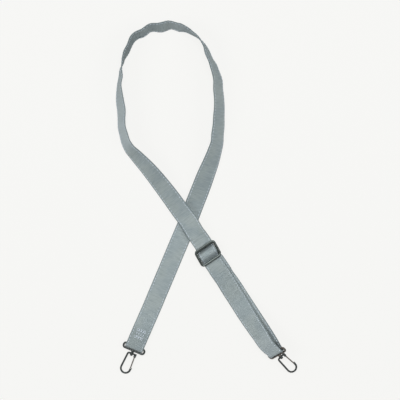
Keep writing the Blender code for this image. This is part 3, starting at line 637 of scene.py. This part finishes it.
    def round_corners(self, points: Sequence[Vector], radius: float) -> list[Vector]:
        """Replace each inner corner by a short curve.

        Args:
            points: The run's corners.
            radius: How far from a corner its curve starts.

        Returns:
            The rounded run.
        """
        run = [points[0]]
        for before, corner, after in zip(points, points[1:], points[2:]):
            reach = min(radius, (corner - before).length / 2, (after - corner).length / 2)
            first = corner + (before - corner).normalized() * reach
            last = corner + (after - corner).normalized() * reach
            for step in range(self.sizes.corner_steps + 1):
                share = step / self.sizes.corner_steps
                run.append(first.lerp(corner, share).lerp(corner.lerp(last, share), share))
        run.append(points[-1])
        return run

    def over_bar(self, radius: float, foot_height: float) -> tuple[Vector, list[Vector], Vector]:
        """A strand that climbs over the slider's centre bar and comes down again.

        Args:
            radius: The radius of its crest about the bar.
            foot_height: The height that it climbs from.

        Returns:
            The foot before, the crest's points and the foot after.
        """
        slope = math.radians(self.sizes.weave_angle)
        rise = self.middle.z - foot_height
        foot = (radius + rise * math.cos(slope)) / math.sin(slope)
        steps = self.sizes.crown_steps
        crown = [self.middle + radius * (self.along * math.sin(a) + UP * math.cos(a))
                 for a in (slope * step / steps for step in range(-steps, steps + 1))]
        down = Vector((0.0, 0.0, -rise))
        return self.middle - self.along * foot + down, crown, self.middle + self.along * foot + down

    def drifted(self, run: Run, marks: Sequence[tuple[float, float]]) -> Run:
        """Step a run aside near the slider, where the strand doesn't lie in the middle of its slots.

        Args:
            run: Centres and across vectors.
            marks: Distances past the slider's centre and side steps, in millimetres.

        Returns:
            The run with its side steps.
        """
        slopes = [(b[1] - a[1]) / (b[0] - a[0]) for a, b in zip(marks, marks[1:])]
        rates = [0.0] + [(p + q) / 2 if p * q > 0 else 0.0 for p, q in zip(slopes, slopes[1:])] + [0.0]
        moved = []
        for centre, across in run:
            place = (centre - self.middle).dot(self.along) / MM
            side = marks[0][1] if place < marks[0][0] else marks[-1][1]
            for (near, start), (far, stop), rate_a, rate_b in zip(marks, marks[1:], rates, rates[1:]):
                if near <= place <= far:
                    span = far - near
                    s = (place - near) / span
                    side = (start + (stop - start) * s * s * (3 - 2 * s)
                            + span * s * (1 - s) * (rate_a * (1 - s) - rate_b * s))
            moved.append((centre + across * side * MM, across))
        return moved

    def level(self, points: Iterable[Vector]) -> Run:
        """Give points on the slider's line their across vector."""
        return [(spot, self.across) for spot in points]

    def runs(self) -> dict[str, list[Station]]:
        """Lay the strap from the left sewn end to the slider's sewn end.

        Returns:
            The strap's five runs by name, the distance along the strap running on from each to the next.
        """
        sizes, left, right = self.sizes, self.left, self.right
        tail_table = [(x, y, tilt, 0.0) for x, y, tilt, _ in self.LEFT_LEG[:2]]
        tail_path = chained(*self.smooth([left.lead(-1, 0.0, sizes)] + self.laid(tail_table)))
        tail = shortened(tail_path, sizes.sewn_tail)[::-1]
        controls = [left.lead(1, 0.0, sizes)] + self.laid(self.LEFT_LEG + self.LOOP + self.CROSSING)
        parting = 1 + len(self.LEFT_LEG) + self.LOOP_PARTING
        entry = sizes.end_bar + sizes.weave_entry
        controls += [self.by_slider(-sizes.upper_run, sizes.long_strand_layers, sizes.upper_run_tilt)]
        controls += [self.by_slider(-distance, sizes.long_strand_layers) for distance in (entry, sizes.end_bar)]
        spans = self.smooth(controls)
        loop = chained(tail, self.fold(left, -1), *spans[:parting])

        start, crown, stop = self.over_bar(sizes.fold_radius + sizes.layer,
                                           sizes.long_strand_layers * sizes.layer + sizes.thickness / 2)
        first = start - self.along * (sizes.end_bar - (self.middle - start).dot(self.along))
        last = stop + self.along * (sizes.end_bar - (stop - self.middle).dot(self.along))
        climb = self.level(self.round_corners([first, start, crown[0]], sizes.layer) + crown[1:sizes.crown_steps + 1])
        fall = self.level(crown[sizes.crown_steps:-1] + self.round_corners([crown[-1], stop, last], sizes.layer))
        upper = chained(*spans[parting:], climb)

        below = [self.by_slider(distance, sizes.long_strand_layers)
                 for distance in (sizes.end_bar, entry, sizes.slider_tail + sizes.layer)]
        front = self.smooth(below + self.laid(self.FRONT_RUN)
                            + [right.lead(1, sizes.eye_lead, sizes), right.lead(1, 0.0, sizes)])
        front_run = chained(fall, *front, self.fold(right, 1))

        meeting = sizes.slider_tail + sizes.gap
        back = self.smooth([self.by_slider(meeting, 0.0), self.by_slider(meeting + sizes.layer, 0.0)]
                           + self.laid(self.RETURN_RUN)
                           + [right.lead(-1, sizes.eye_lead, sizes), right.lead(-1, 0.0, sizes)])
        return_run = chained(*back)[::-1]

        _, crown, stop = self.over_bar(sizes.fold_radius, sizes.layer + sizes.thickness / 2)
        foot = (stop - self.middle).dot(self.along) - sizes.layer / 2
        under = [self.foot + self.along * meeting, self.foot + self.along * foot]
        under = [spot + UP * sizes.thickness / 2 for spot in under] + [self.middle - UP * sizes.fold_radius]
        half_turn = self.turn_round(self.middle, self.across, -UP, -self.along, sizes.fold_radius)
        tail_end = self.foot + self.along * sizes.slider_tail + UP * stop.z
        down = self.level(crown[sizes.crown_steps:] + [stop, tail_end])
        sewn_end = chained(self.level(self.round_corners(under, sizes.layer)), half_turn, down)

        named = {"loop": loop, "upper_run": upper, "front_run": front_run, "return_run": return_run,
                 "sewn_end": sewn_end}
        drifts = {"upper_run": self.LONG_DRIFT, "front_run": self.LONG_DRIFT, "return_run": self.TAIL_DRIFT,
                  "sewn_end": self.TAIL_DRIFT}
        stations, walked = {}, 0.0
        for name, run in named.items():
            run = self.drifted(densified(run, sizes.step * sizes.step_slack), drifts.get(name, ((0.0, 0.0),)))
            stations[name] = measured(run, walked)
            walked = stations[name][-1].walked
        return stations


def chained(*runs: Run) -> Run:
    """Chain runs of cross-sections, leaving out the ones that they share.

    Args:
        *runs: The runs in order.

    Returns:
        One run.
    """
    chain = list(runs[0])
    for run in runs[1:]:
        chain += run[1:] if (run[0][0] - chain[-1][0]).length < SAME_PLACE else run
    return chain


def shortened(run: Run, length: float) -> Run:
    """Keep a run up to a given length from its start.

    Args:
        run: Centres and across vectors.
        length: The length to keep.

    Returns:
        The shorter run.
    """
    kept, walked = [run[0]], 0.0
    for (a, across_a), (b, across_b) in zip(run, run[1:]):
        step = (b - a).length
        if walked + step >= length:
            share = (length - walked) / step
            return kept + [(a.lerp(b, share), across_a.lerp(across_b, share))]
        kept.append((b, across_b))
        walked += step
    return kept


def densified(run: Run, longest: float) -> Run:
    """Add cross-sections where two are further apart than the longest step.

    Args:
        run: Centres and across vectors.
        longest: The longest step.

    Returns:
        The finer run.
    """
    fine = [run[0]]
    for (a, across_a), (b, across_b) in zip(run, run[1:]):
        steps = max(1, math.ceil((b - a).length / longest))
        for step in range(1, steps + 1):
            share = step / steps
            fine.append((a.lerp(b, share), across_a.lerp(across_b, share).normalized()))
    return fine


def measured(run: Run, start: float) -> list[Station]:
    """Give each cross-section its surface normal and its distance along the strap.

    Args:
        run: Centres and across vectors.
        start: The distance at the run's start.

    Returns:
        The stations.
    """
    stations, walked = [], start
    for index, (centre, across) in enumerate(run):
        before, after = run[max(index - 1, 0)][0], run[min(index + 1, len(run) - 1)][0]
        if index:
            walked += (centre - run[index - 1][0]).length
        normal = (after - before).cross(across).normalized()
        stations.append(Station(centre, across, normal, walked))
    return stations


@dataclass
class Webbing:
    """The strap's woven surface: a flat band with rounded selvedges and a dimple under each line of stitching."""

    UV_NAME = "weave"

    sizes: Sizes
    material: bpy.types.Material
    thread: bpy.types.Material
    stitch_inset: float = 0.0022       # from the edge to the line of stitching
    stitch_pitch: float = 0.0042
    stitch_length: float = 0.0030
    thread_width: float = 0.00085
    bar_thread_width: float = 0.0011   # of the reinforcing stitches, which are sewn twice
    dimple: float = 0.00018
    dimple_half: float = 0.0002        # half the width of the groove that the thread pulls in
    sink: float = 0.6                  # of the dimple, by which a stitch lies down in it
    swell: float = 0.12                # of the thread's width, by which it stands out again
    edge_steps: int = 4
    flat_marks: tuple[float, ...] = (0.0, 0.0035, 0.0070, 0.0092, 0.0098, 0.0103, 0.0108, 0.0114)

    def __post_init__(self) -> None:
        """Make the one stitch that the others are copies of, with few faces as it is repeated often."""
        bm = bmesh.new()
        bmesh.ops.create_uvsphere(bm, u_segments=6, v_segments=4, radius=1.0)
        self.loop_of_thread = bpy.data.meshes.new("stitch")
        bm.to_mesh(self.loop_of_thread)
        bm.free()

    def profile(self) -> list[tuple[float, float]]:
        """The band's outline in its own cross-section.

        Returns:
            Offsets across and along the normal, once round.
        """
        half, reach = self.sizes.thickness / 2, self.sizes.width / 2
        line = reach - self.stitch_inset
        marks = [-mark for mark in self.flat_marks[:0:-1]] + list(self.flat_marks)
        top = [(mark, half - (self.dimple if abs(abs(mark) - line) < self.dimple_half else 0.0)) for mark in marks]
        angles = (math.pi / 2 - math.pi * step / self.edge_steps for step in range(1, self.edge_steps))
        edge = [(reach - half + half * math.cos(a), half * math.sin(a)) for a in angles]
        bottom = [(mark, -height) for mark, height in reversed(top)]
        return top + edge + bottom + [(-mark, -height) for mark, height in edge]

    def place(self, station: Station, offset: float, lift: float) -> Vector:
        """A point of the cross-section in space."""
        return station.centre + station.across * offset + station.normal * lift

    def sweep(self, name: str, stations: Sequence[Station]) -> bpy.types.Object:
        """Extrude the outline from one cross-section to the next.

        Args:
            name: The piece's name.
            stations: The run.

        Returns:
            The closed band.
        """
        outline = self.profile()
        bm = bmesh.new()
        marks: dict[bmesh.types.BMVert, tuple[float, float]] = {}

        def settle(ring: Sequence[bmesh.types.BMVert], station: Station) -> None:
            """Put a ring of vertices onto a cross-section.

            Args:
                ring: The vertices, once round.
                station: The cross-section.
            """
            for vert, (offset, lift) in zip(ring, outline):
                vert.co = self.place(station, offset, lift)
                marks[vert] = (offset, station.walked)

        ring = [bm.verts.new() for _ in outline]
        edges = [bm.edges.new(pair) for pair in zip(ring, ring[1:] + ring[:1])]
        first = edges
        settle(ring, stations[0])
        for station in stations[1:]:
            made = bmesh.ops.extrude_edge_only(bm, edges=edges)["geom"]
            fresh = {item for item in made if isinstance(item, bmesh.types.BMVert)}
            ring = [next(edge.other_vert(vert) for edge in vert.link_edges if edge.other_vert(vert) in fresh)
                    for vert in ring]
            edges = [bm.edges.get(pair) for pair in zip(ring, ring[1:] + ring[:1])]
            settle(ring, station)
        bmesh.ops.edgeloop_fill(bm, edges=first)
        bmesh.ops.edgeloop_fill(bm, edges=edges)
        bmesh.ops.recalc_face_normals(bm, faces=bm.faces)
        layer = bm.loops.layers.uv.new(self.UV_NAME)
        for face in bm.faces:
            for loop in face.loops:
                loop[layer].uv = marks[loop.vert]
        return finished(name, bm, self.material)

    def stitch(self, bm: bmesh.types.BMesh, centre: Vector, along: Vector, normal: Vector,
               length: float, width: float) -> None:
        """Add one stitch, a thread drawn down into the cloth at both ends.

        Args:
            bm: The mesh that it joins.
            centre: Its middle.
            along: Its direction.
            normal: Away from the cloth.
            length: Its length.
            width: The thread's width.
        """
        along = along.normalized()
        side = normal.cross(along).normalized()
        axes = Matrix((side * width / 2, normal * self.thread_width / 2, along * length / 2))
        copy = self.loop_of_thread.copy()
        copy.transform(Matrix.Translation(centre) @ axes.transposed().to_4x4())
        bm.from_mesh(copy, face_normals=False, vertex_normals=False)
        bpy.data.meshes.remove(copy)

    def topstitch(self, name: str, stations: Sequence[Station], faces: Sequence[int] = (1, -1),
                  extra: Sequence[Sequence[tuple[float, float]]] = ()) -> bpy.types.Object:
        """Sew a line along each edge of a run, and any other lines.

        Args:
            name: The piece's name.
            stations: The run.
            faces: The sides of the cloth that the stitches show on.
            extra: Other lines, each two or more points of offset across and distance along the strap.

        Returns:
            The stitches.
        """
        bm = bmesh.new()
        line = self.sizes.width / 2 - self.stitch_inset
        begin, end = stations[0].walked, stations[-1].walked
        lines = [[(side * line, begin), (side * line, end)] for side in (-1, 1)] + [list(item) for item in extra]
        for place, points in enumerate(lines):
            width = self.thread_width if place < 2 else self.bar_thread_width
            for (offset_a, walked_a), (offset_b, walked_b) in zip(points, points[1:]):
                span = math.dist((offset_a, walked_a), (offset_b, walked_b))
                count = max(1, round(span / self.stitch_pitch))
                for index in range(count):
                    shares = [(index + 0.5 + part * self.stitch_length / self.stitch_pitch / 2) / count
                              for part in (-1, 0, 1)]
                    for face in faces:
                        lift = face * (self.sizes.thickness / 2 - self.dimple * self.sink
                                       + self.thread_width * self.swell)
                        spots = []
                        for share in shares:
                            walked = walked_a + (walked_b - walked_a) * share
                            here = station_at(stations, walked)
                            spots.append(self.place(here, offset_a + (offset_b - offset_a) * share, lift))
                        reach = spots[2] - spots[0]
                        self.stitch(bm, spots[1], reach, here.normal * face, reach.length, width)
        return finished(name, bm, self.thread)


def station_at(stations: Sequence[Station], walked: float) -> Station:
    """The cross-section at a distance along the strap.

    Args:
        stations: The run.
        walked: The distance.

    Returns:
        A station between the two nearest.
    """
    low, high = 0, len(stations) - 1
    while high - low > 1:
        half = (low + high) // 2
        low, high = (half, high) if stations[half].walked <= walked else (low, half)
    a, b = stations[low], stations[high]
    share = (walked - a.walked) / max(b.walked - a.walked, LEAST_SPAN)
    share = min(max(share, 0.0), 1.0)
    return Station(a.centre.lerp(b.centre, share), a.across.lerp(b.across, share).normalized(),
                   a.normal.lerp(b.normal, share).normalized(), walked)


def finished(name: str, bm: bmesh.types.BMesh, material: bpy.types.Material) -> bpy.types.Object:
    """Turn a bmesh into a smooth-shaded object at the origin.

    Args:
        name: The piece's name.
        bm: The mesh, which is freed.
        material: Its finish.

    Returns:
        The object.
    """
    mesh = bpy.data.meshes.new(name)
    bm.to_mesh(mesh)
    bm.free()
    mesh.materials.append(material)
    mesh.shade_smooth()
    mesh.set_sharp_from_angle(angle=math.radians(SHARP_ANGLE))
    obj = bpy.data.objects.new(name, mesh)
    bpy.context.scene.collection.objects.link(obj)
    return obj


@dataclass
class Strap:
    """The whole strap of webbing: its runs, their stitching, and what each follows."""

    cloth: bpy.types.Material
    thread: bpy.types.Material
    sizes: Sizes = field(default_factory=Sizes)
    right_end_tilt: float = 40.0
    crest_margin: float = 0.006        # past the end bar, where the upper run follows the slider alone
    entry_margin: float = 0.005        # past the weave, where the front run starts to leave the slider
    eye_margin: float = 0.016          # of the front run at the right eye, which follows the webbing alone
    turn_margin: float = 0.008         # of the return run at the right eye, the same
    box_start: float = 0.0155          # from the left fold to the sewn box
    box_length: float = 0.0125
    box_half: float = 0.0064           # half the width of the box and of the bar tacks
    bar_tacks: tuple[float, float] = (0.003, 0.009)    # from the end of the slider's tail

    def build(self) -> None:
        """Make and place every run, hang each run that follows one body alone on that body, and hide the solids that
        they stand for.
        """
        left = StrapEnd.from_joint("left", 0.0)
        right = StrapEnd.from_joint("right", self.right_end_tilt)
        route = Route(self.sizes, left, right)
        runs = route.runs()
        webbing = Webbing(self.sizes, self.cloth, self.thread)
        followed = {
            "loop": (Body.WEBBING, Body.WEBBING, "strap_loop"),
            "upper_run": (Body.WEBBING, Body.SLIDER, None),
            "front_run": (Body.SLIDER, Body.WEBBING, "strap_front_run"),
            "return_run": (Body.WEBBING, Body.SLIDER, "strap_return_run"),
            "sewn_end": (Body.SLIDER, Body.SLIDER, "strap_sewn_end"),
        }
        for name, stations in runs.items():
            extra = self.other_lines(name, stations)
            band = webbing.sweep(f"webbing_{name}", stations)
            sewing = webbing.topstitch(f"stitching_{name}", stations, extra=extra)
            start_body, end_body, node = followed[name]
            for piece in (band, sewing):
                if start_body is end_body:
                    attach(piece, start_body.value)
                else:
                    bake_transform(piece)
            if node:
                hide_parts(node)

    def other_lines(self, name: str, stations: Sequence[Station]) -> list[list[tuple[float, float]]]:
        """Lines of stitching other than those along the edges.

        Args:
            name: The run's name.
            stations: The run.

        Returns:
            Each line's points, as offset across and distance along the strap.
        """
        first, half = stations[0].walked, self.box_half
        if name == "loop":
            near = first + self.sizes.sewn_tail + math.pi * self.sizes.wrap_radius + self.box_start
            far = near + self.box_length
            zigzag = [(half * (place / 2 - 1), far if place % 2 else near) for place in range(5)]
            mirrored = [(offset, near + far - walked) for offset, walked in zigzag]
            return [zigzag, mirrored, [(-half, near), (half, near)], [(-half, far), (half, far)]]
        if name == "sewn_end":
            last = stations[-1].walked
            return [[(-half, last - place), (half, last - place)] for place in self.bar_tacks]
        return []


@dataclass
class SliderFrame:
    """The slider's cast frame: two slots in a flat plate with round corners, leaning a little with the strand."""

    material: bpy.types.Material
    width: float = 0.0326
    inner_width: float = 0.0254
    slot: float = 0.0073
    cross_bar: float = 0.0026
    end_bars: tuple[float, float] = (0.0042, 0.0032)    # the loop's side, then the tail's
    corner: float = 0.0052
    slot_corner: float = 0.0012
    lean: float = 0.09
    dish: float = 0.13             # slope of the tail's end bar, which rises away from the middle
    edge: float = 0.0006
    edge_steps: int = 3
    corner_steps: int = 8

    def ring(self, bm: bmesh.types.BMesh, width: float, length: float, centre: float, radius: float,
             level: float) -> list[bmesh.types.BMVert]:
        """Vertices of a rounded rectangle on the slider's own axes.

        Args:
            bm: The mesh.
            width: Across the strap.
            length: Along the strap.
            centre: How far along its middle lies.
            radius: The corners' radius.
            level: Its height over the slider's middle.

        Returns:
            The vertices, once round.
        """
        verts = []
        for quarter, (side_x, side_y) in enumerate(((1, 1), (-1, 1), (-1, -1), (1, -1))):
            for step in range(self.corner_steps + 1):
                angle = math.pi / 2 * (quarter + step / self.corner_steps)
                across = side_x * (width / 2 - radius) + radius * math.cos(angle)
                along = centre + side_y * (length / 2 - radius) + radius * math.sin(angle)
                rise = self.dish * max(0.0, along - self.slot - self.cross_bar / 2)
                verts.append(bm.verts.new((across - self.lean * along, along, level + rise)))
        return verts

    def build(self, middle: Vector, along: Vector, thickness: float) -> bpy.types.Object:
        """Wall the outline and both slots with rounded edges and fill the two faces.

        Args:
            middle: The slider's centre.
            along: The direction of the strap through it.
            thickness: The frame's height.

        Returns:
            The frame.
        """
        bm = bmesh.new()
        half, pitch = thickness / 2, self.slot + self.cross_bar
        overall = 2 * self.slot + sum(self.end_bars) + self.cross_bar
        centre = (self.end_bars[1] - self.end_bars[0]) / 2
        bends = [math.pi / 2 * step / self.edge_steps for step in range(self.edge_steps + 1)]
        upper = [(self.edge * (1 - math.sin(a)), half - self.edge * (1 - math.cos(a))) for a in bends]
        levels = upper + [(inset, -level) for inset, level in reversed(upper)]
        faces: list[list[bmesh.types.BMEdge]] = [[], []]
        for kind in (0, -1, 1):
            rings = []
            for inset, level in levels:
                if kind == 0:
                    size = (self.width - 2 * inset, overall - 2 * inset, centre)
                    radius = self.corner - inset
                else:
                    size = (self.inner_width + 2 * inset, self.slot + 2 * inset, kind * pitch / 2)
                    radius = self.slot_corner + inset
                rings.append(self.ring(bm, *size, radius, level))
            for low, high in zip(rings, rings[1:]):
                for a, b, c, d in zip(low, low[1:] + low[:1], high[1:] + high[:1], high):
                    bm.faces.new((a, b, c, d))
            for face, ring in zip(faces, (rings[0], rings[-1])):
                face += [bm.edges.get(pair) for pair in zip(ring, ring[1:] + ring[:1])]
        for face in faces:
            bmesh.ops.triangle_fill(bm, use_beauty=True, edges=face)
        axes = Matrix((UP.cross(along), along, UP)).transposed().to_4x4()
        bmesh.ops.transform(bm, matrix=Matrix.Translation(middle) @ axes, verts=bm.verts)
        bmesh.ops.recalc_face_normals(bm, faces=bm.faces)
        return finished("cast_slider_frame", bm, self.material)


class Hardware:
    """The slider, the eyes, the hooks with their gates, and their pins and springs."""

    def __init__(self, platings: dict[Plating, bpy.types.Material], steel: bpy.types.Material) -> None:
        """Keep the finishes.

        Args:
            platings: The plating in each of its states.
            steel: The wire of the pins and springs.
        """
        self.platings, self.steel = platings, steel

    def build(self) -> None:
        """Cast the slider, and dress the solids that show as they are."""
        low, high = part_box("slider_frame")
        along = Vector(named_joint("slider_travel")["axis"]).normalized()
        slider = SliderFrame(self.platings[Plating.POLISHED]).build((low + high) / 2, along, high.z - low.z)
        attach(slider, Body.SLIDER.value)
        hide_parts("slider_frame")
        for name, node in frame["nodes"].items():
            if name.startswith("strap") or name == "slider_frame":
                continue
            steel = name.endswith(("_pin", "_spring"))
            # The gates take the paler plating for handling wear, and the right eye takes it as a painted reflection
            rubbed_or_lit = name.endswith("_gate") or name == "right_swivel_eye"
            plating = self.platings[Plating.RUBBED_OR_LIT if rubbed_or_lit else Plating.TUMBLED]
            node.data.materials.clear()
            node.data.materials.append(self.steel if steel else plating)
            log.info("%s dressed", name)


@dataclass(frozen=True)
class Studio:
    """A pale table under soft, plain light, and a camera straight above it."""

    background: str = "#F7F7F5"
    view_width: float = 0.5376
    camera_height: float = 5.0
    sensor: float = 36.0
    world_share: float = 0.20
    lamps: tuple[tuple[str, float, tuple[float, float, float]], ...] = (
        ("key_light", 0.455, (0.0, 0.75, 2.15)),
        ("left_light", 0.195, (-2.0, 0.0, 1.6)),
        ("right_light", 0.15, (2.0, 0.0, 1.6)),
    )
    lamp_size: float = 1.2
    table_size: float = 30.0
    table_roughness: float = 0.9
    table_drop: float = 0.0001         # below the strap, so that the two don't share a plane
    unseen_table: str = "#B4B4B3"      # how bright the table is to the light that it throws back
    shadow_share: float = 0.10

    def build(self) -> None:
        """Set the table, the light and the camera."""
        scene = bpy.context.scene
        scene.view_settings.view_transform = "Standard"
        self.world()
        self.table()
        for name, share, place in self.lamps:
            self.lamp(name, place, share)
        camera = bpy.data.cameras.new("camera")
        camera.sensor_width = self.sensor
        camera.lens = self.sensor * self.camera_height / self.view_width
        holder = bpy.data.objects.new("camera", camera)
        holder.location = (*VIEW_CENTRE, self.camera_height)
        scene.collection.objects.link(holder)
        scene.camera = holder

    def seen(self, shader: Shader) -> bpy.types.NodeSocket:
        """Tell the rays that see the background from those that only light the object.

        Args:
            shader: The nodes that this is for.

        Returns:
            One for rays from the camera, a mirror or glass, and nought for all others.
        """
        path = shader.add("LightPath").node.outputs
        mirrored = shader.add("Math", (path["Is Glossy Ray"], path["Is Transmission Ray"]), operation="MAXIMUM")
        return shader.add("Math", (path["Is Camera Ray"], mirrored), operation="MAXIMUM")

    def world(self) -> None:
        """An even light from all round, with the pale background where it is seen or mirrored."""
        shader = Shader(bpy.data.worlds.new("studio"), "Background", "World Output")
        bpy.context.scene.world = shader.owner
        shader.feed(shader.first, {"Color": "#FFFFFF", "Strength": self.world_share})
        pale = shader.add("Background", {"Color": self.background})
        mixed = shader.add("MixShader", (self.seen(shader), shader.first.outputs[0], pale))
        shader.feed(shader.last, {"Surface": mixed})

    def table(self) -> None:
        """A pale table whose seen colour is mostly its own, with a little of the light and shade on it."""
        bm = bmesh.new()
        bmesh.ops.create_grid(bm, x_segments=1, y_segments=1, size=self.table_size / 2,
                              matrix=Matrix.Translation((0.0, 0.0, -self.table_drop)))
        shader = Shader(bpy.data.materials.new("pale_table"))
        seen = self.seen(shader)
        base = shader.add("Mix", {0: seen, 6: self.unseen_table, 7: self.background}, output=2, data_type="RGBA")
        shader.feed(shader.first, {"Base Color": base, "Roughness": self.table_roughness, "Specular IOR Level": 0.0})
        glow = shader.add("Emission", {"Color": self.background, "Strength": 1.0})
        share = shader.add("Math", (seen, 1.0 - self.shadow_share), operation="MULTIPLY")
        mixed = shader.add("MixShader", (share, shader.first.outputs[0], glow))
        shader.feed(shader.last, {"Surface": mixed})
        finished("table", bm, shader.owner)

    def lamp(self, name: str, place: tuple[float, float, float], share: float) -> None:
        """A large soft lamp that gives the table its share of the light.

        Args:
            name: The lamp's name.
            place: Where it hangs.
            share: How much of a plain white's brightness it gives on the table.
        """
        spot = Vector(place)
        light = bpy.data.lights.new(name, "AREA")
        light.size = self.lamp_size
        light.energy = share * math.pi ** 2 * spot.length ** 3 / spot.z
        holder = bpy.data.objects.new(name, light)
        holder.location = spot
        holder.rotation_mode = "QUATERNION"
        holder.rotation_quaternion = spot.to_track_quat("Z", "Y")
        bpy.context.scene.collection.objects.link(holder)


def main() -> None:
    """Build the strap, its hardware and the studio."""
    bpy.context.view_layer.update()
    cloth, thread = WovenWebbing().build(), SewingThread().build()
    Strap(cloth, thread).build()
    Hardware({plating: plating.value.build() for plating in Plating}, DrawnSteel().build()).build()
    Studio().build()


if __name__ == "__main__":
    logging.basicConfig(level=logging.INFO, format="%(message)s")
    main()
